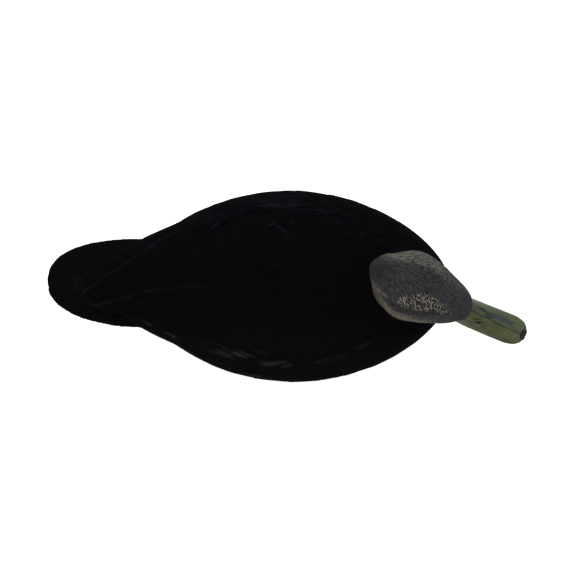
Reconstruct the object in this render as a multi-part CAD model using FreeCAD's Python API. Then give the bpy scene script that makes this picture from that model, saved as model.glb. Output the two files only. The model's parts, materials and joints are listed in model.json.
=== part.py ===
"""Floating duck decoy: a hollow two-shell body, a turning hollow head and a weighted keel.

Frame: millimetres. The origin is the centre of the keel's flat bottom, where the decoy stands.
+X runs to the breast, +Y to the duck's left and +Z up. The head is built in its own frame,
u forward and v left of the neck axis, and then turned to the duck's right by HEAD_TURN degrees.
"""
import FreeCAD
import Part
import math
import os

V = FreeCAD.Vector
UP = V(0, 0, 1)
SIDE = V(0, 1, 0)
ORIGIN = V(0, 0, 0)

# ---- body ----------------------------------------------------------------
BREAST_X = 145.0
CAVITY_REAR_X = -120.0
RUMP_X = -184.0
WIDEST_X = 6.0
HALF_BEAM = 85.0
SEAM_Z = 71.0
WIDEST_Z = 77.0
HULL_Z = 32.0
WALL = 2.8
TONGUE_T = 1.4
TONGUE_H = 4.0
FIT_GAP = 0.1

# ---- tail fan ------------------------------------------------------------
TAIL_X = -211.0
FAN_ROOT_X = -104.0
FAN_SHOULDER_X = -130.0
FAN_HALF_WIDTH = 39.8
FAN_ARCH = 5.0

# ---- neck seat and through-bolt -------------------------------------------
NECK_X = 98.0
SEAT_Z = 120.0
SEAT_R = 27.5
BEARING_R = 16.5
BEARING_T = 1.6
BEARING_RECESS = 1.05
SEAL_RING_R = 20.0
SEAL_WIRE_R = 1.15
BOLT_R = 3.0
BOLT_HOLE_R = 3.3
BOLT_END_Z = 14.0
BOLT_HEX_AF = 10.0
BOLT_HEX_H = 4.0
THREAD_PITCH = 1.0
THREAD_LENGTH = 20.0
THREAD_DEPTH = 0.45
SLEEVE_R = 5.0
BOSS_R = 11.0
NECK_BOSS_Z = 104.0
HULL_BOSS_Z = 32.5
HULL_BOSS_TOP_Z = 42.0

# ---- head ----------------------------------------------------------------
HEAD_TURN = -22.5
HEAD_Z = SEAT_Z - BEARING_RECESS + BEARING_T + 0.05
HEAD_H = 70.5
DOME_H = 46.0
NECK_R = 25.0
HEAD_WALL = 3.0
PLUG_H = 10.0
BILL_ROOT_U = 44.0
BILL_TIP_U = 112.2
EYE_R = 5.0
EYE_U = 29.6
EYE_H = 42.0
EYE_V = 18.6
EYE_BACK = 2.0
EYE_HOLLOW_R = 22.0
EYE_HOLLOW_U = 31.1
EYE_HOLLOW_V = 44.5

# ---- keel ----------------------------------------------------------------
KEEL_HALF_L = 66.0
KEEL_WEB_T = 7.0
BULB_T = 20.0
BULB_H = 13.0
BULB_FRONT_X = 50.0
FLANGE_Z = 24.0
FLANGE_T = 3.5
FLANGE_W = 26.0
FLANGE_REAR_X = -86.0
FLANGE_FRONT_X = 82.0
GASKET_T = 1.5
PAD_Z = FLANGE_Z + FLANGE_T + GASKET_T
LINE_HOLE_R = 2.5
FRONT_HOLE = (60.0, 17.0)
REAR_HOLE = (-74.0, 18.0)
RING_HOLE = (73.5, 8.0)
RING_HOLE_R = 2.6
NOSE_R = 6.5
BAR_SIZE = (104.0, 13.0, 7.0)
BAR_POCKET_GAP = 0.15
BALLAST_PLUG_L = 9.0
BALLAST_SHOULDER_T = 2.0
SCREW_R = 1.75
SCREW_HEAD_R = 3.6
SCREW_HEAD_H = 2.2
SCREW_LENGTH = 13.0
SCREW_HOLE_R = SCREW_R + FIT_GAP
SCREW_PLACES = [(x, y) for x in (-66.0, 46.0) for y in (-8.5, 8.5)]

# ---- line ring -------------------------------------------------------------
RING_R = 9.5
RING_WIRE_R = 1.1
RING_DROOP = 20.0

# ---- wing nut stack, from the hull boss down -----------------------------------
RUBBER_WASHER_T = 2.0
RUBBER_WASHER_R = 9.0
STEEL_WASHER_T = 1.2
STEEL_WASHER_R = 9.0
SPRING_WASHER_T = 1.4
SPRING_WASHER_R = 5.4
NUT_GAP = 0.05
NUT_H = 8.0
NUT_R = 5.6
NUT_BORE_R = BOLT_R + 0.05
WING_REACH = 13.5
WING_DROP = 12.0
WING_T = 2.2

# ---- drain plug ------------------------------------------------------------
DRAIN_X = -103.0
DRAIN_BOSS_R = 12.0
DRAIN_FACE_Z = 40.0
DRAIN_TOP_Z = 50.0
DRAIN_R = 6.0
DRAIN_HEAD_R = 9.5
DRAIN_HEAD_H = 3.0
DRAIN_GRIP = (12.0, 3.0, 5.0)
DRAIN_SEAL_WIRE_R = 0.9


# ---- curves -----------------------------------------------------------------
def smooth_curve(*points):
    """A function running smoothly through (x, value) points in rising x, without overshoot."""
    xs = [p[0] for p in points]
    ys = [p[1] for p in points]
    last = len(points) - 1
    rises = [(ys[i + 1] - ys[i]) / (xs[i + 1] - xs[i]) for i in range(last)]
    slopes = [rises[0]]
    for before, after in zip(rises, rises[1:]):
        same_way = before * after > 0
        slopes.append(2 * before * after / (before + after) if same_way else 0.0)
    slopes.append(rises[-1])

    def value(x):
        if x <= xs[0]:
            return ys[0]
        if x >= xs[-1]:
            return ys[-1]
        i = max(k for k in range(last) if xs[k] <= x)
        span = xs[i + 1] - xs[i]
        t = (x - xs[i]) / span
        start = (1 + 2 * t) * (1 - t) ** 2 * ys[i] + t * (1 - t) ** 2 * span * slopes[i]
        end = t * t * (3 - 2 * t) * ys[i + 1] + t * t * (t - 1) * span * slopes[i + 1]
        return start + end

    return value


def eased_stations(start, end, count):
    """Count places from start to end, packed closer together towards both ends."""
    steps = [(1 - math.cos(math.pi * i / (count - 1))) / 2 for i in range(count)]
    return [start + (end - start) * s for s in steps]


def signed_power(value, power):
    """Value to a power, keeping its sign."""
    return math.copysign(abs(value) ** power, value)


def oval(count, place):
    """A closed smooth wire through place(cos, sin) at count equal angles."""
    angles = [2 * math.pi * i / count - math.pi / 2 for i in range(count)]
    points = [place(math.cos(a), math.sin(a)) for a in angles]
    curve = Part.BSplineCurve()
    curve.interpolate(points, PeriodicFlag=True)
    return Part.Wire([curve.toShape()])


def loft(wires):
    """A closed solid skinned over wires."""
    solid = Part.makeLoft(wires, True, False)
    if solid.Volume < 0:
        solid.reverse()
    return solid


# ---- small solids --------------------------------------------------------------
def disc(radius, z_low, z_high, x=NECK_X, y=0.0):
    """An upright cylinder at (x, y) between two heights."""
    return Part.makeCylinder(radius, z_high - z_low, V(x, y, z_low), UP)


def washer(outer, inner, z_low, z_high, x=NECK_X):
    """A flat ring on an upright axis at x."""
    return disc(outer, z_low, z_high, x).cut(disc(inner, z_low - 1, z_high + 1, x))


def slab(z_low, z_high):
    """A box wider than the whole decoy between two heights."""
    reach = 260.0
    return Part.makeBox(2 * reach, 2 * reach, z_high - z_low, V(-reach, -reach, z_low))


def cross_hole(place, radius):
    """A cylinder along Y through (x, z), longer than the keel is thick."""
    reach = 30.0
    return Part.makeCylinder(radius, 2 * reach, V(place[0], -reach, place[1]), SIDE)


def hexagon(across_flats, z_low, z_high, x=NECK_X):
    """An upright hexagonal prism at x."""
    corner = across_flats / math.sqrt(3)
    points = [
        V(x + corner * math.cos(math.radians(60 * i)), corner * math.sin(math.radians(60 * i)), z_low)
        for i in range(7)
    ]
    return Part.Face(Part.makePolygon(points)).extrude(V(0, 0, z_high - z_low))


def spun(profile, x=NECK_X):
    """A closed profile of (radius, z) points turned round the upright axis at x."""
    points = [V(x + r, 0, z) for r, z in profile]
    face = Part.Face(Part.makePolygon(points + points[:1]))
    return face.revolve(V(x, 0, 0), UP, 360)


# ---- body shape -----------------------------------------------------------------
back_line = smooth_curve(
    (-184, 107), (-160, 109), (-130, 112), (-100, 115.5), (-60, 121), (-20, 124.3),
    (20, 124.3), (60, 119.8), (80, 117.5), (100, 116), (145, 112),
)
belly_line = smooth_curve(
    (-184, 96), (-165, 86), (-145, 70), (-120, 54), (-95, 43), (-60, 35.5),
    (-20, 32.3), (20, HULL_Z), (60, 33), (100, 36.5), (145, 44),
)
widest_line = smooth_curve(
    (-184, 101), (-160, 97), (-130, 91), (-100, 84), (-60, WIDEST_Z), (145, WIDEST_Z),
)
rump_half_width = smooth_curve(
    (-184, 4), (-170, 14), (-155, 23), (-140, 32), (-128, 40.3), (-93, 57.1),
)


def half_width(x):
    """Half the body's beam at x: a blunt breast, long side pockets and a tapering rump."""
    if x > WIDEST_X:
        t = (x - WIDEST_X) / (BREAST_X - WIDEST_X)
        return HALF_BEAM * (1 - t**1.8) ** 0.56
    pocket_length = 144.0
    t = min(1.0, (WIDEST_X - x) / pocket_length)
    pocket = HALF_BEAM * (1 - t**2) ** 0.6
    return pocket if x > -93 else max(pocket, rump_half_width(x))


def breast_round(x):
    """How far the breast has closed in height at x, from 1 down to 0 at its front."""
    start = 90.0
    t = max(0.0, (x - start) / (BREAST_X - start))
    return math.sqrt(1 - t**4)


def body_section(x, inset):
    """The body's outline across x, drawn in by inset."""
    level = widest_line(x)
    rise = (back_line(x) - level) * breast_round(x) - inset
    fall = (level - belly_line(x)) * breast_round(x) - inset
    half = half_width(x) - inset

    def place(c, s):
        height = rise if s > 0 else fall
        fullness = 2.1 if s > 0 else 2.5
        y = half * signed_power(c, 2 / fullness)
        return V(x, y, level + height * signed_power(s, 2 / fullness))

    return oval(36, place)


def body_form(inset, rear, front, count=26):
    """The body's solid form, drawn in by inset, between two places along X."""
    return loft([body_section(x, inset) for x in eased_stations(rear, front, count)])


def cavity_form(inset):
    """The hollow's form: the body drawn in by inset, closed at the rear bulkhead."""
    return body_form(inset, CAVITY_REAR_X - (WALL - inset), BREAST_X - inset - 0.7)


def tail_fan():
    """The arched tail plate, rooted inside the rump."""
    top = smooth_curve((-211, 107), (-180, 104), (-150, 100.5), (-104, 96))
    thickness = smooth_curve((-211, 4), (-190, 7), (-150, 9), (-104, 11))

    def section(x):
        t = max(0.0, (FAN_SHOULDER_X - x) / (FAN_SHOULDER_X - TAIL_X))
        half = FAN_HALF_WIDTH * (1 - t**2) ** 0.4

        def place(c, s):
            thick = thickness(x) / 2
            y = half * signed_power(c, 0.9)
            return V(x, y, top(x) - thick - FAN_ARCH * c * c + thick * signed_power(s, 0.9))

        return oval(28, place)

    return loft([section(x) for x in eased_stations(TAIL_X + 0.2, FAN_ROOT_X, 18)])


def neck_pedestal():
    """The flared rise on the breast that carries the head's round seat."""
    side_flare = smooth_curve((97, 24), (104, 14.5), (110, 7.5), (116, 2), (SEAT_Z, 0))
    front_flare = smooth_curve((97, 14.5), (104, 11.5), (110, 7.2), (116, 2.6), (SEAT_Z, 0))

    front_fullness = smooth_curve((97, 1.3), (104, 1.38), (110, 1.55), (116, 1.85), (SEAT_Z, 2))

    def section(z):
        side_reach = SEAT_R + side_flare(z)
        front_reach = SEAT_R + front_flare(z)
        power = 2 / front_fullness(z)

        def place(c, s):
            if c <= 0:
                return V(NECK_X + side_reach * c, side_reach * s, z)
            x = NECK_X + front_reach * c**power
            return V(x, side_reach * signed_power(s, power), z)

        return oval(24, place)

    return loft([section(z) for z in (97, 101, 104, 107, 110, 113, 116, 118.5, SEAT_Z)])


def seat_cuts():
    """The seat's bearing recess, its seal groove and the bolt hole."""
    recess = disc(BEARING_R + 0.2, SEAT_Z - BEARING_RECESS, SEAT_Z + 1)
    groove_r = SEAL_WIRE_R + FIT_GAP
    groove_floor = HEAD_Z - 2 * SEAL_WIRE_R - FIT_GAP
    groove = washer(SEAL_RING_R + groove_r, SEAL_RING_R - groove_r, groove_floor, SEAT_Z + 1)
    return recess.fuse(groove).fuse(disc(BOLT_HOLE_R, NECK_BOSS_Z - 1, SEAT_Z + 1))


def tongue_zone(inset):
    """The band just above the seam, filled out to inset from the skin."""
    return cavity_form(inset).common(slab(SEAM_Z, SEAM_Z + TONGUE_H + (WALL - TONGUE_T - inset)))


def back_shell(outer, hollow):
    """Upper body moulding: back, wings, tail fan and neck seat."""
    shell = outer.fuse(tail_fan()).fuse(neck_pedestal()).cut(hollow)
    shell = shell.fuse(disc(BOSS_R, NECK_BOSS_Z, SEAT_Z - 4))
    shell = shell.common(slab(SEAM_Z, 220))
    return shell.cut(tongue_zone(WALL - TONGUE_T - FIT_GAP)).cut(seat_cuts())


def keel_pad():
    """Solid under the belly that gives the keel a flat seat."""
    length = FLANGE_FRONT_X - FLANGE_REAR_X + 4
    block = Part.makeBox(length, FLANGE_W + 6, 16, V(FLANGE_REAR_X - 2, -FLANGE_W / 2 - 3, PAD_Z))
    upright = [e for e in block.Edges if abs(e.tangentAt(e.FirstParameter).z) > 0.9]
    return block.makeFillet(9.0, upright)


def hull_shell(outer, hollow):
    """Lower body moulding: belly, keel pad, bolt boss, drain boss and the seam's tongue."""
    pad = keel_pad().fuse(disc(DRAIN_BOSS_R, DRAIN_FACE_Z, DRAIN_TOP_Z, DRAIN_X))
    pad = pad.fuse(disc(BOSS_R, HULL_BOSS_Z, HULL_BOSS_TOP_Z))
    shell = outer.common(slab(0, SEAM_Z)).fuse(pad).cut(hollow)
    for x, y in SCREW_PLACES:
        shell = shell.fuse(disc(5.0, PAD_Z, PAD_Z + SCREW_LENGTH, x, y))
    shell = shell.fuse(disc(DRAIN_BOSS_R, DRAIN_FACE_Z, DRAIN_TOP_Z, DRAIN_X))
    shell = shell.fuse(disc(BOSS_R, HULL_BOSS_Z, HULL_BOSS_TOP_Z))
    shell = shell.fuse(tongue_zone(WALL - TONGUE_T).cut(hollow))
    for x, y in SCREW_PLACES:
        shell = shell.cut(disc(SCREW_HOLE_R, PAD_Z - 1, screw_tip_z() + 0.3, x, y))
    shell = shell.cut(disc(DRAIN_R + FIT_GAP, DRAIN_FACE_Z - 1, DRAIN_TOP_Z + 1, DRAIN_X))
    return shell.cut(disc(BOLT_HOLE_R, HULL_BOSS_Z - 1, HULL_BOSS_TOP_Z + 1))


# ---- neck joint -------------------------------------------------------------------
def bearing_washer():
    """Nylon ring that the head turns on."""
    floor = SEAT_Z - BEARING_RECESS
    return washer(BEARING_R, BOLT_HOLE_R, floor, floor + BEARING_T)


def neck_seal():
    """O-ring between the seat's groove and the head's plug."""
    centre = V(NECK_X, 0, HEAD_Z - SEAL_WIRE_R - FIT_GAP / 2)
    return Part.makeTorus(SEAL_RING_R, SEAL_WIRE_R, centre, UP)


def neck_sleeve():
    """Tube between the two bosses that takes the bolt's clamping load."""
    return washer(SLEEVE_R, BOLT_HOLE_R, HULL_BOSS_TOP_Z + 0.05, NECK_BOSS_Z - 0.05)


def neck_bolt():
    """Hex bolt held in the head's plug, threaded at its lower end."""
    seat = HEAD_Z + PLUG_H - BOLT_HEX_H
    profile = [(0, seat), (BOLT_R, seat)]
    turns = int(THREAD_LENGTH / THREAD_PITCH)
    top = BOLT_END_Z + 1 + THREAD_LENGTH
    for i in range(turns):
        crest = top - i * THREAD_PITCH
        profile += [(BOLT_R, crest), (BOLT_R - THREAD_DEPTH, crest - THREAD_PITCH / 2)]
    profile += [(BOLT_R, BOLT_END_Z + 1), (BOLT_R - 0.8, BOLT_END_Z), (0, BOLT_END_Z)]
    return spun(profile).fuse(hexagon(BOLT_HEX_AF, seat, seat + BOLT_HEX_H - 0.3))


def neck_plug():
    """Disc closing the head's open neck, with a hex pocket for the bolt."""
    top = HEAD_Z + PLUG_H
    plug = disc(NECK_R - HEAD_WALL - FIT_GAP, HEAD_Z, top)
    plug = plug.cut(washer(NECK_R - HEAD_WALL - 3, 9.5, HEAD_Z + 4, top + 1))
    plug = plug.cut(hexagon(BOLT_HEX_AF + 0.2, top - BOLT_HEX_H, top + 1))
    return plug.cut(disc(BOLT_R + 0.05, HEAD_Z - 1, top + 1))


# ---- head ---------------------------------------------------------------------------
centre_line = smooth_curve((0, 0), (14, 0), (26, 3), (38, 7), (HEAD_H, 11))
nape_line = smooth_curve(
    (0, -NECK_R), (12, -26.5), (22, -29), (34, -31.5), (DOME_H, -32.5), (HEAD_H, -27),
)
face_line = smooth_curve(
    (0, NECK_R), (11, NECK_R), (17, 27.5), (23, 34), (28, 43), (33, 54), (39, 62), (46, 64.5),
    (54, 57), (60, 51), (66, 45), (HEAD_H, 41),
)
cheek_line = smooth_curve(
    (0, NECK_R), (11, NECK_R), (22, 26), (32, 27.8), (42, 29), (52, 28.6), (HEAD_H, 27.5),
)
face_fullness = smooth_curve((0, 2), (20, 2), (34, 1.55), (50, 1.5), (HEAD_H, 1.8))
nape_fullness = smooth_curve((0, 2), (11, 2), (24, 1.8), (34, 1.65), (DOME_H, 1.6), (HEAD_H, 1.9))


def dome(h):
    """How far the crown has closed at height h above the neck's foot, from 1 down to 0."""
    t = max(0.0, (h - DOME_H) / (HEAD_H - DOME_H))
    return math.sqrt(max(0.0, 1 - t**2.4))


def head_slice(h, inset):
    """The head's level outline at height h, drawn in by inset."""
    close = dome(h)
    middle = centre_line(h)

    def place(c, s):
        reach = face_line(h) - middle if c > 0 else middle - nape_line(h)
        fullness = face_fullness(h) if c > 0 else nape_fullness(h)
        u = middle + (reach * close - inset) * signed_power(c, 2 / fullness)
        v = (cheek_line(h) * close - inset) * signed_power(s, 2 / fullness)
        return V(u, v, HEAD_Z + h)

    return oval(36, place)


def head_form(inset, top):
    """Head and neck from the foot up to a height, drawn in by inset."""
    lower = [i * top * 0.8 / 17 for i in range(17)]
    upper = [top * (0.8 + 0.2 * math.sin(math.pi / 2 * i / 7)) for i in range(8)]
    return loft([head_slice(h, inset) for h in lower + upper])


def bill():
    """The upper and lower bill as one moulding, spoon-shaped towards its tip."""
    half = smooth_curve(
        (44, 11.3), (60, 12), (80, 12.3), (94, 12.5), (100, 12.1), (106, 10.6), (110, 7.7),
        (BILL_TIP_U, 3.5),
    )
    ridge = smooth_curve(
        (44, 57), (56, 54.5), (64, 50.5), (72, 47), (84, 43.4), (98, 40.4), (107, 38),
        (BILL_TIP_U, 34),
    )
    under = smooth_curve(
        (44, 29), (64, 30.5), (82, 30.8), (100, 30.2), (107, 30.2), (BILL_TIP_U, 31),
    )
    edge = smooth_curve((44, 38), (64, 36.5), (82, 35.2), (100, 33.8), (BILL_TIP_U, 32.2))

    def section(u):
        level = edge(u)

        def place(c, s):
            height = ridge(u) - level if s > 0 else level - under(u)
            v = half(u) * signed_power(c, 0.9)
            return V(u, v, HEAD_Z + level + height * signed_power(s, 0.95))

        return oval(24, place)

    return loft([section(u) for u in eased_stations(BILL_ROOT_U, BILL_TIP_U, 16)])


def to_neck(shape):
    """Moves a shape from the head's own frame to its turned place on the neck axis."""
    placed = shape.copy()
    placed.rotate(ORIGIN, UP, HEAD_TURN)
    placed.translate(V(NECK_X, 0, 0))
    return placed


def eye_centre(side):
    """The middle of an eye in the head's own frame; side is 1 on the left, -1 on the right."""
    return V(EYE_U, side * EYE_V, HEAD_Z + EYE_H)


def eye(side):
    """A glass eye: a ball flattened at the back, set in the hollow at the side of the head."""
    centre = eye_centre(side)
    ball = Part.makeSphere(EYE_R, centre)
    size = 3 * EYE_R
    front = Part.makeBox(size, size, size, V(-size / 2, -EYE_BACK, -size / 2))
    if side < 0:
        front.rotate(ORIGIN, UP, 180)
    front.translate(centre)
    return ball.common(front)


def eye_socket(side):
    """The hole in the head that an eye sits in."""
    return Part.makeSphere(EYE_R + 0.05, eye_centre(side))


def eye_hollow(side):
    """The ball that dishes the side of the head shallowly round an eye."""
    return Part.makeSphere(EYE_HOLLOW_R, V(EYE_HOLLOW_U, side * EYE_HOLLOW_V, HEAD_Z + EYE_H))


def head_shell():
    """Hollow head, neck and bill in one moulding, open at the neck's foot."""
    outer = head_form(0.0, HEAD_H - 0.15).fuse(bill())
    shell = outer.cut(head_form(HEAD_WALL, HEAD_H - HEAD_WALL - 0.5))
    for side in (-1, 1):
        shell = shell.cut(eye_hollow(side)).cut(eye_socket(side))
    return shell


# ---- keel ---------------------------------------------------------------------------
def stadium(x_rear, x_front, width, z_low, z_high):
    """A flat bar with round ends between two places along X."""
    r = width / 2
    bar = Part.makeBox(x_front - x_rear - width, width, z_high - z_low, V(x_rear + r, -r, z_low))
    return bar.fuse(disc(r, z_low, z_high, x_rear + r)).fuse(disc(r, z_low, z_high, x_front - r))


def keel_web():
    """The keel's blade, with a round nose for the line ring."""
    nose_x, nose_z = RING_HOLE
    low = V(nose_x, 0, nose_z - NOSE_R)
    tip = V(nose_x + NOSE_R, 0, nose_z)
    middle = V(nose_x + NOSE_R * math.sqrt(0.5), 0, nose_z - NOSE_R * math.sqrt(0.5))
    corners = [
        tip, V(nose_x + NOSE_R, 0, FLANGE_Z), V(FLANGE_REAR_X + 4, 0, FLANGE_Z),
        V(FLANGE_REAR_X + 4, 0, BULB_H + 1), V(-KEEL_HALF_L, 0, BULB_H - 1), V(-KEEL_HALF_L, 0, 0),
        V(KEEL_HALF_L, 0, 0), low,
    ]
    edges = [Part.LineSegment(a, b).toShape() for a, b in zip(corners, corners[1:])]
    edges.append(Part.Arc(low, middle, tip).toShape())
    face = Part.Face(Part.Wire(edges))
    web = face.extrude(V(0, KEEL_WEB_T, 0))
    web.translate(V(0, -KEEL_WEB_T / 2, 0))
    return web


def keel_bulb():
    """The thick foot of the keel that holds the ballast bar, with its top edges eased."""
    length = BULB_FRONT_X + KEEL_HALF_L
    bulb = Part.makeBox(length, BULB_T, BULB_H, V(-KEEL_HALF_L, -BULB_T / 2, 0))
    upright = [e for e in bulb.Edges if abs(e.tangentAt(e.FirstParameter).z) > 0.9]
    bulb = bulb.makeFillet(8.0, [e for e in upright if e.CenterOfMass.x > 0])
    top = [e for e in bulb.Edges if e.CenterOfMass.z > BULB_H - 0.01]
    return bulb.makeChamfer(3.0, [e for e in top if e.CenterOfMass.x > -KEEL_HALF_L + 1])


def bar_box(gap, x_low, x_high):
    """The ballast bar's section, grown by gap, between two places along X."""
    width, height = BAR_SIZE[1] + 2 * gap, BAR_SIZE[2] + 2 * gap
    centre_z = BULB_H / 2 - 0.5
    return Part.makeBox(x_high - x_low, width, height, V(x_low, -width / 2, centre_z - height / 2))


def bar_range():
    """Where the ballast bar starts and ends along X."""
    rear = -KEEL_HALF_L + BALLAST_PLUG_L + 0.5
    return rear, rear + BAR_SIZE[0]


def keel():
    """Weighted keel: flange, blade and bulb with the ballast pocket and the line holes."""
    body = stadium(FLANGE_REAR_X, FLANGE_FRONT_X, FLANGE_W, FLANGE_Z, FLANGE_Z + FLANGE_T)
    body = body.fuse(keel_web()).fuse(keel_bulb()).removeSplitter()
    body = body.cut(bar_box(BAR_POCKET_GAP, -KEEL_HALF_L - 1, bar_range()[1] + 0.5))
    for place in (FRONT_HOLE, REAR_HOLE):
        body = body.cut(cross_hole(place, LINE_HOLE_R))
    body = body.cut(cross_hole(RING_HOLE, RING_HOLE_R))
    for x, y in SCREW_PLACES:
        body = body.cut(disc(SCREW_HOLE_R, FLANGE_Z - 1, PAD_Z, x, y))
    return body


def keel_gasket():
    """Rubber sheet between the keel's flange and the hull's pad."""
    sheet = stadium(FLANGE_REAR_X, FLANGE_FRONT_X, FLANGE_W, FLANGE_Z + FLANGE_T, PAD_Z)
    for x, y in SCREW_PLACES:
        sheet = sheet.cut(disc(SCREW_HOLE_R, FLANGE_Z, PAD_Z + 1, x, y))
    return sheet


def ballast_plug():
    """Stopper for the ballast pocket, with a shoulder against the bulb's rear end."""
    stem = bar_box(BAR_POCKET_GAP - 0.1, -KEEL_HALF_L, -KEEL_HALF_L + BALLAST_PLUG_L)
    shoulder = bar_box(1.6, -KEEL_HALF_L - BALLAST_SHOULDER_T, -KEEL_HALF_L)
    return stem.fuse(shoulder).removeSplitter()


def screw_tip_z():
    """Height of the keel screws' tips."""
    return FLANGE_Z + SCREW_LENGTH


def keel_screw(x, y):
    """A pan-head screw driven up through the flange, with a cross recess."""
    head = disc(SCREW_HEAD_R, FLANGE_Z - SCREW_HEAD_H, FLANGE_Z, x, y)
    lower = [e for e in head.Edges if e.CenterOfMass.z < FLANGE_Z - SCREW_HEAD_H + 0.1]
    head = head.makeFillet(1.2, [e for e in lower if e.Closed])
    for length, width in ((4.0, 0.9), (0.9, 4.0)):
        corner = V(x - length / 2, y - width / 2, FLANGE_Z - SCREW_HEAD_H - 0.1)
        head = head.cut(Part.makeBox(length, width, 1.3, corner))
    shank = disc(SCREW_R, FLANGE_Z, screw_tip_z() - 3, x, y)
    tip = Part.makeCone(SCREW_R, 0.2, 3, V(x, y, screw_tip_z() - 3), UP)
    return head.fuse(shank).fuse(tip).removeSplitter()


# ---- moving hardware ---------------------------------------------------------------------
def line_ring():
    """Wire ring through the keel's nose that the anchor line ties to."""
    ring = Part.makeTorus(RING_R, RING_WIRE_R, V(RING_R, 0, 0), UP)
    ring.rotate(ORIGIN, SIDE, RING_DROOP)
    ring.translate(V(RING_HOLE[0], 0, RING_HOLE[1]))
    return ring


def stack_heights():
    """Upper faces of the rubber washer, steel washer, spring washer and wing nut."""
    rubber = HULL_BOSS_Z
    steel = rubber - RUBBER_WASHER_T
    spring = steel - STEEL_WASHER_T
    nut = spring - SPRING_WASHER_T - NUT_GAP
    return rubber, steel, spring, nut


def spring_washer():
    """Split spring ring that keeps the wing nut from working loose."""
    top = stack_heights()[2]
    ring = washer(SPRING_WASHER_R, BOLT_R + 0.1, top - SPRING_WASHER_T, top)
    slit = Part.makeBox(4.0, 0.8, 4.0, V(NECK_X + BOLT_R, -0.4, top - 3))
    slit.rotate(V(NECK_X + BOLT_R, 0, top - 1), V(1, 0, 0), 25)
    return ring.cut(slit)


def nut_wing(side, top):
    """One flat thumb wing on the nut, reaching out and down from the hub's top."""

    def corner(reach, drop):
        return V(NECK_X - WING_T / 2, side * reach, top - drop)

    shoulder = corner(9.0, 0.9)
    low_out = corner(WING_REACH - 1.5, WING_DROP)
    low_in = corner(8.2, WING_DROP - 1.6)
    waist = corner(2.0, 7.0)
    root = corner(2.0, 0.9)
    outer = Part.Arc(shoulder, corner(WING_REACH, 7.0), low_out)
    tip = Part.Arc(low_out, corner(9.6, WING_DROP + 0.9), low_in)
    straights = [Part.LineSegment(a, b) for a, b in ((low_in, waist), (waist, root), (root, shoulder))]
    outline = Part.Wire([edge.toShape() for edge in [outer, tip] + straights])
    return Part.Face(outline).extrude(V(WING_T, 0, 0))


def wing_nut():
    """Tapered hub with two thumb wings."""
    top = stack_heights()[3]
    hub = Part.makeCone(NUT_R, NUT_R - 1.2, NUT_H, V(NECK_X, 0, top), V(0, 0, -1))
    shape = hub.fuse(nut_wing(-1, top)).fuse(nut_wing(1, top))
    return shape.cut(disc(NUT_BORE_R, 0, 60)).removeSplitter()


def drain_plug():
    """Push-in stopper with a pull grip and a groove for its seal."""
    head_top = DRAIN_FACE_Z - 2 * DRAIN_SEAL_WIRE_R - 0.1
    head_low = head_top - DRAIN_HEAD_H
    head = disc(DRAIN_HEAD_R, head_low, head_top, DRAIN_X)
    rounds = [e for e in head.Edges if e.Closed]
    head = head.makeFillet(1.2, [e for e in rounds if e.CenterOfMass.z < head_top - 1])
    length, width, depth = DRAIN_GRIP
    grip = Part.makeBox(length, width, depth, V(DRAIN_X - length / 2, -width / 2, head_low - depth))
    lowest = [e for e in grip.Edges if e.CenterOfMass.z < head_low - depth + 0.1]
    grip = grip.makeFillet(1.2, lowest)
    stem = disc(DRAIN_R, head_top, DRAIN_TOP_Z - 1, DRAIN_X)
    return head.fuse(stem).fuse(grip).removeSplitter()


def drain_plug_seal():
    """O-ring under the drain plug's head."""
    centre = V(DRAIN_X, 0, DRAIN_FACE_Z - DRAIN_SEAL_WIRE_R - 0.05)
    return Part.makeTorus(DRAIN_R + DRAIN_SEAL_WIRE_R + 0.1, DRAIN_SEAL_WIRE_R, centre, UP)


# ---- build and export -----------------------------------------------------------------------
def build():
    """Every node's name and shape."""
    outer = body_form(0.0, RUMP_X, BREAST_X - 0.1)
    hollow = cavity_form(WALL)
    rubber, steel, spring = stack_heights()[:3]
    return {
        "back_shell": back_shell(outer, hollow),
        "hull_shell": hull_shell(outer, hollow),
        "neck_sleeve": neck_sleeve(),
        "neck_bearing_washer": bearing_washer(),
        "neck_seal": neck_seal(),
        "head_shell": to_neck(head_shell()),
        "eye_left": to_neck(eye(1)),
        "eye_right": to_neck(eye(-1)),
        "neck_plug": neck_plug(),
        "neck_bolt": neck_bolt(),
        "rubber_washer": washer(RUBBER_WASHER_R, BOLT_R + 0.1, steel, rubber),
        "steel_washer": washer(STEEL_WASHER_R, BOLT_R + 0.2, spring, steel),
        "spring_washer": spring_washer(),
        "wing_nut": wing_nut(),
        "keel": keel(),
        "keel_gasket": keel_gasket(),
        "keel_screws": Part.makeCompound([keel_screw(x, y) for x, y in SCREW_PLACES]),
        "ballast_bar": bar_box(0.0, *bar_range()),
        "ballast_plug": ballast_plug(),
        "line_ring": line_ring(),
        "drain_plug": drain_plug(),
        "drain_plug_seal": drain_plug_seal(),
    }


os.makedirs("parts", exist_ok=True)
for name, shape in build().items():
    volume = shape.Volume / 1000
    print(f"{name:22s} solids {len(shape.Solids)} valid {shape.isValid()} volume {volume:.2f} cc")
    Part.makeCompound(shape.Solids).exportStep(f"parts/{name}.step")
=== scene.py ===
"""Looks of a floating duck decoy.

The flocked upper body with its folded wings and tail, and the painted head, are built here as
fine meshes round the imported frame. The hull, the keel and all the hardware keep their CAD shapes
and get their finishes here. Lengths are in millimetres until a mesh is made, then in metres.
"""
import json
import math

import bmesh
import bpy
import numpy as np
from mathutils import Matrix, Vector


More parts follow.
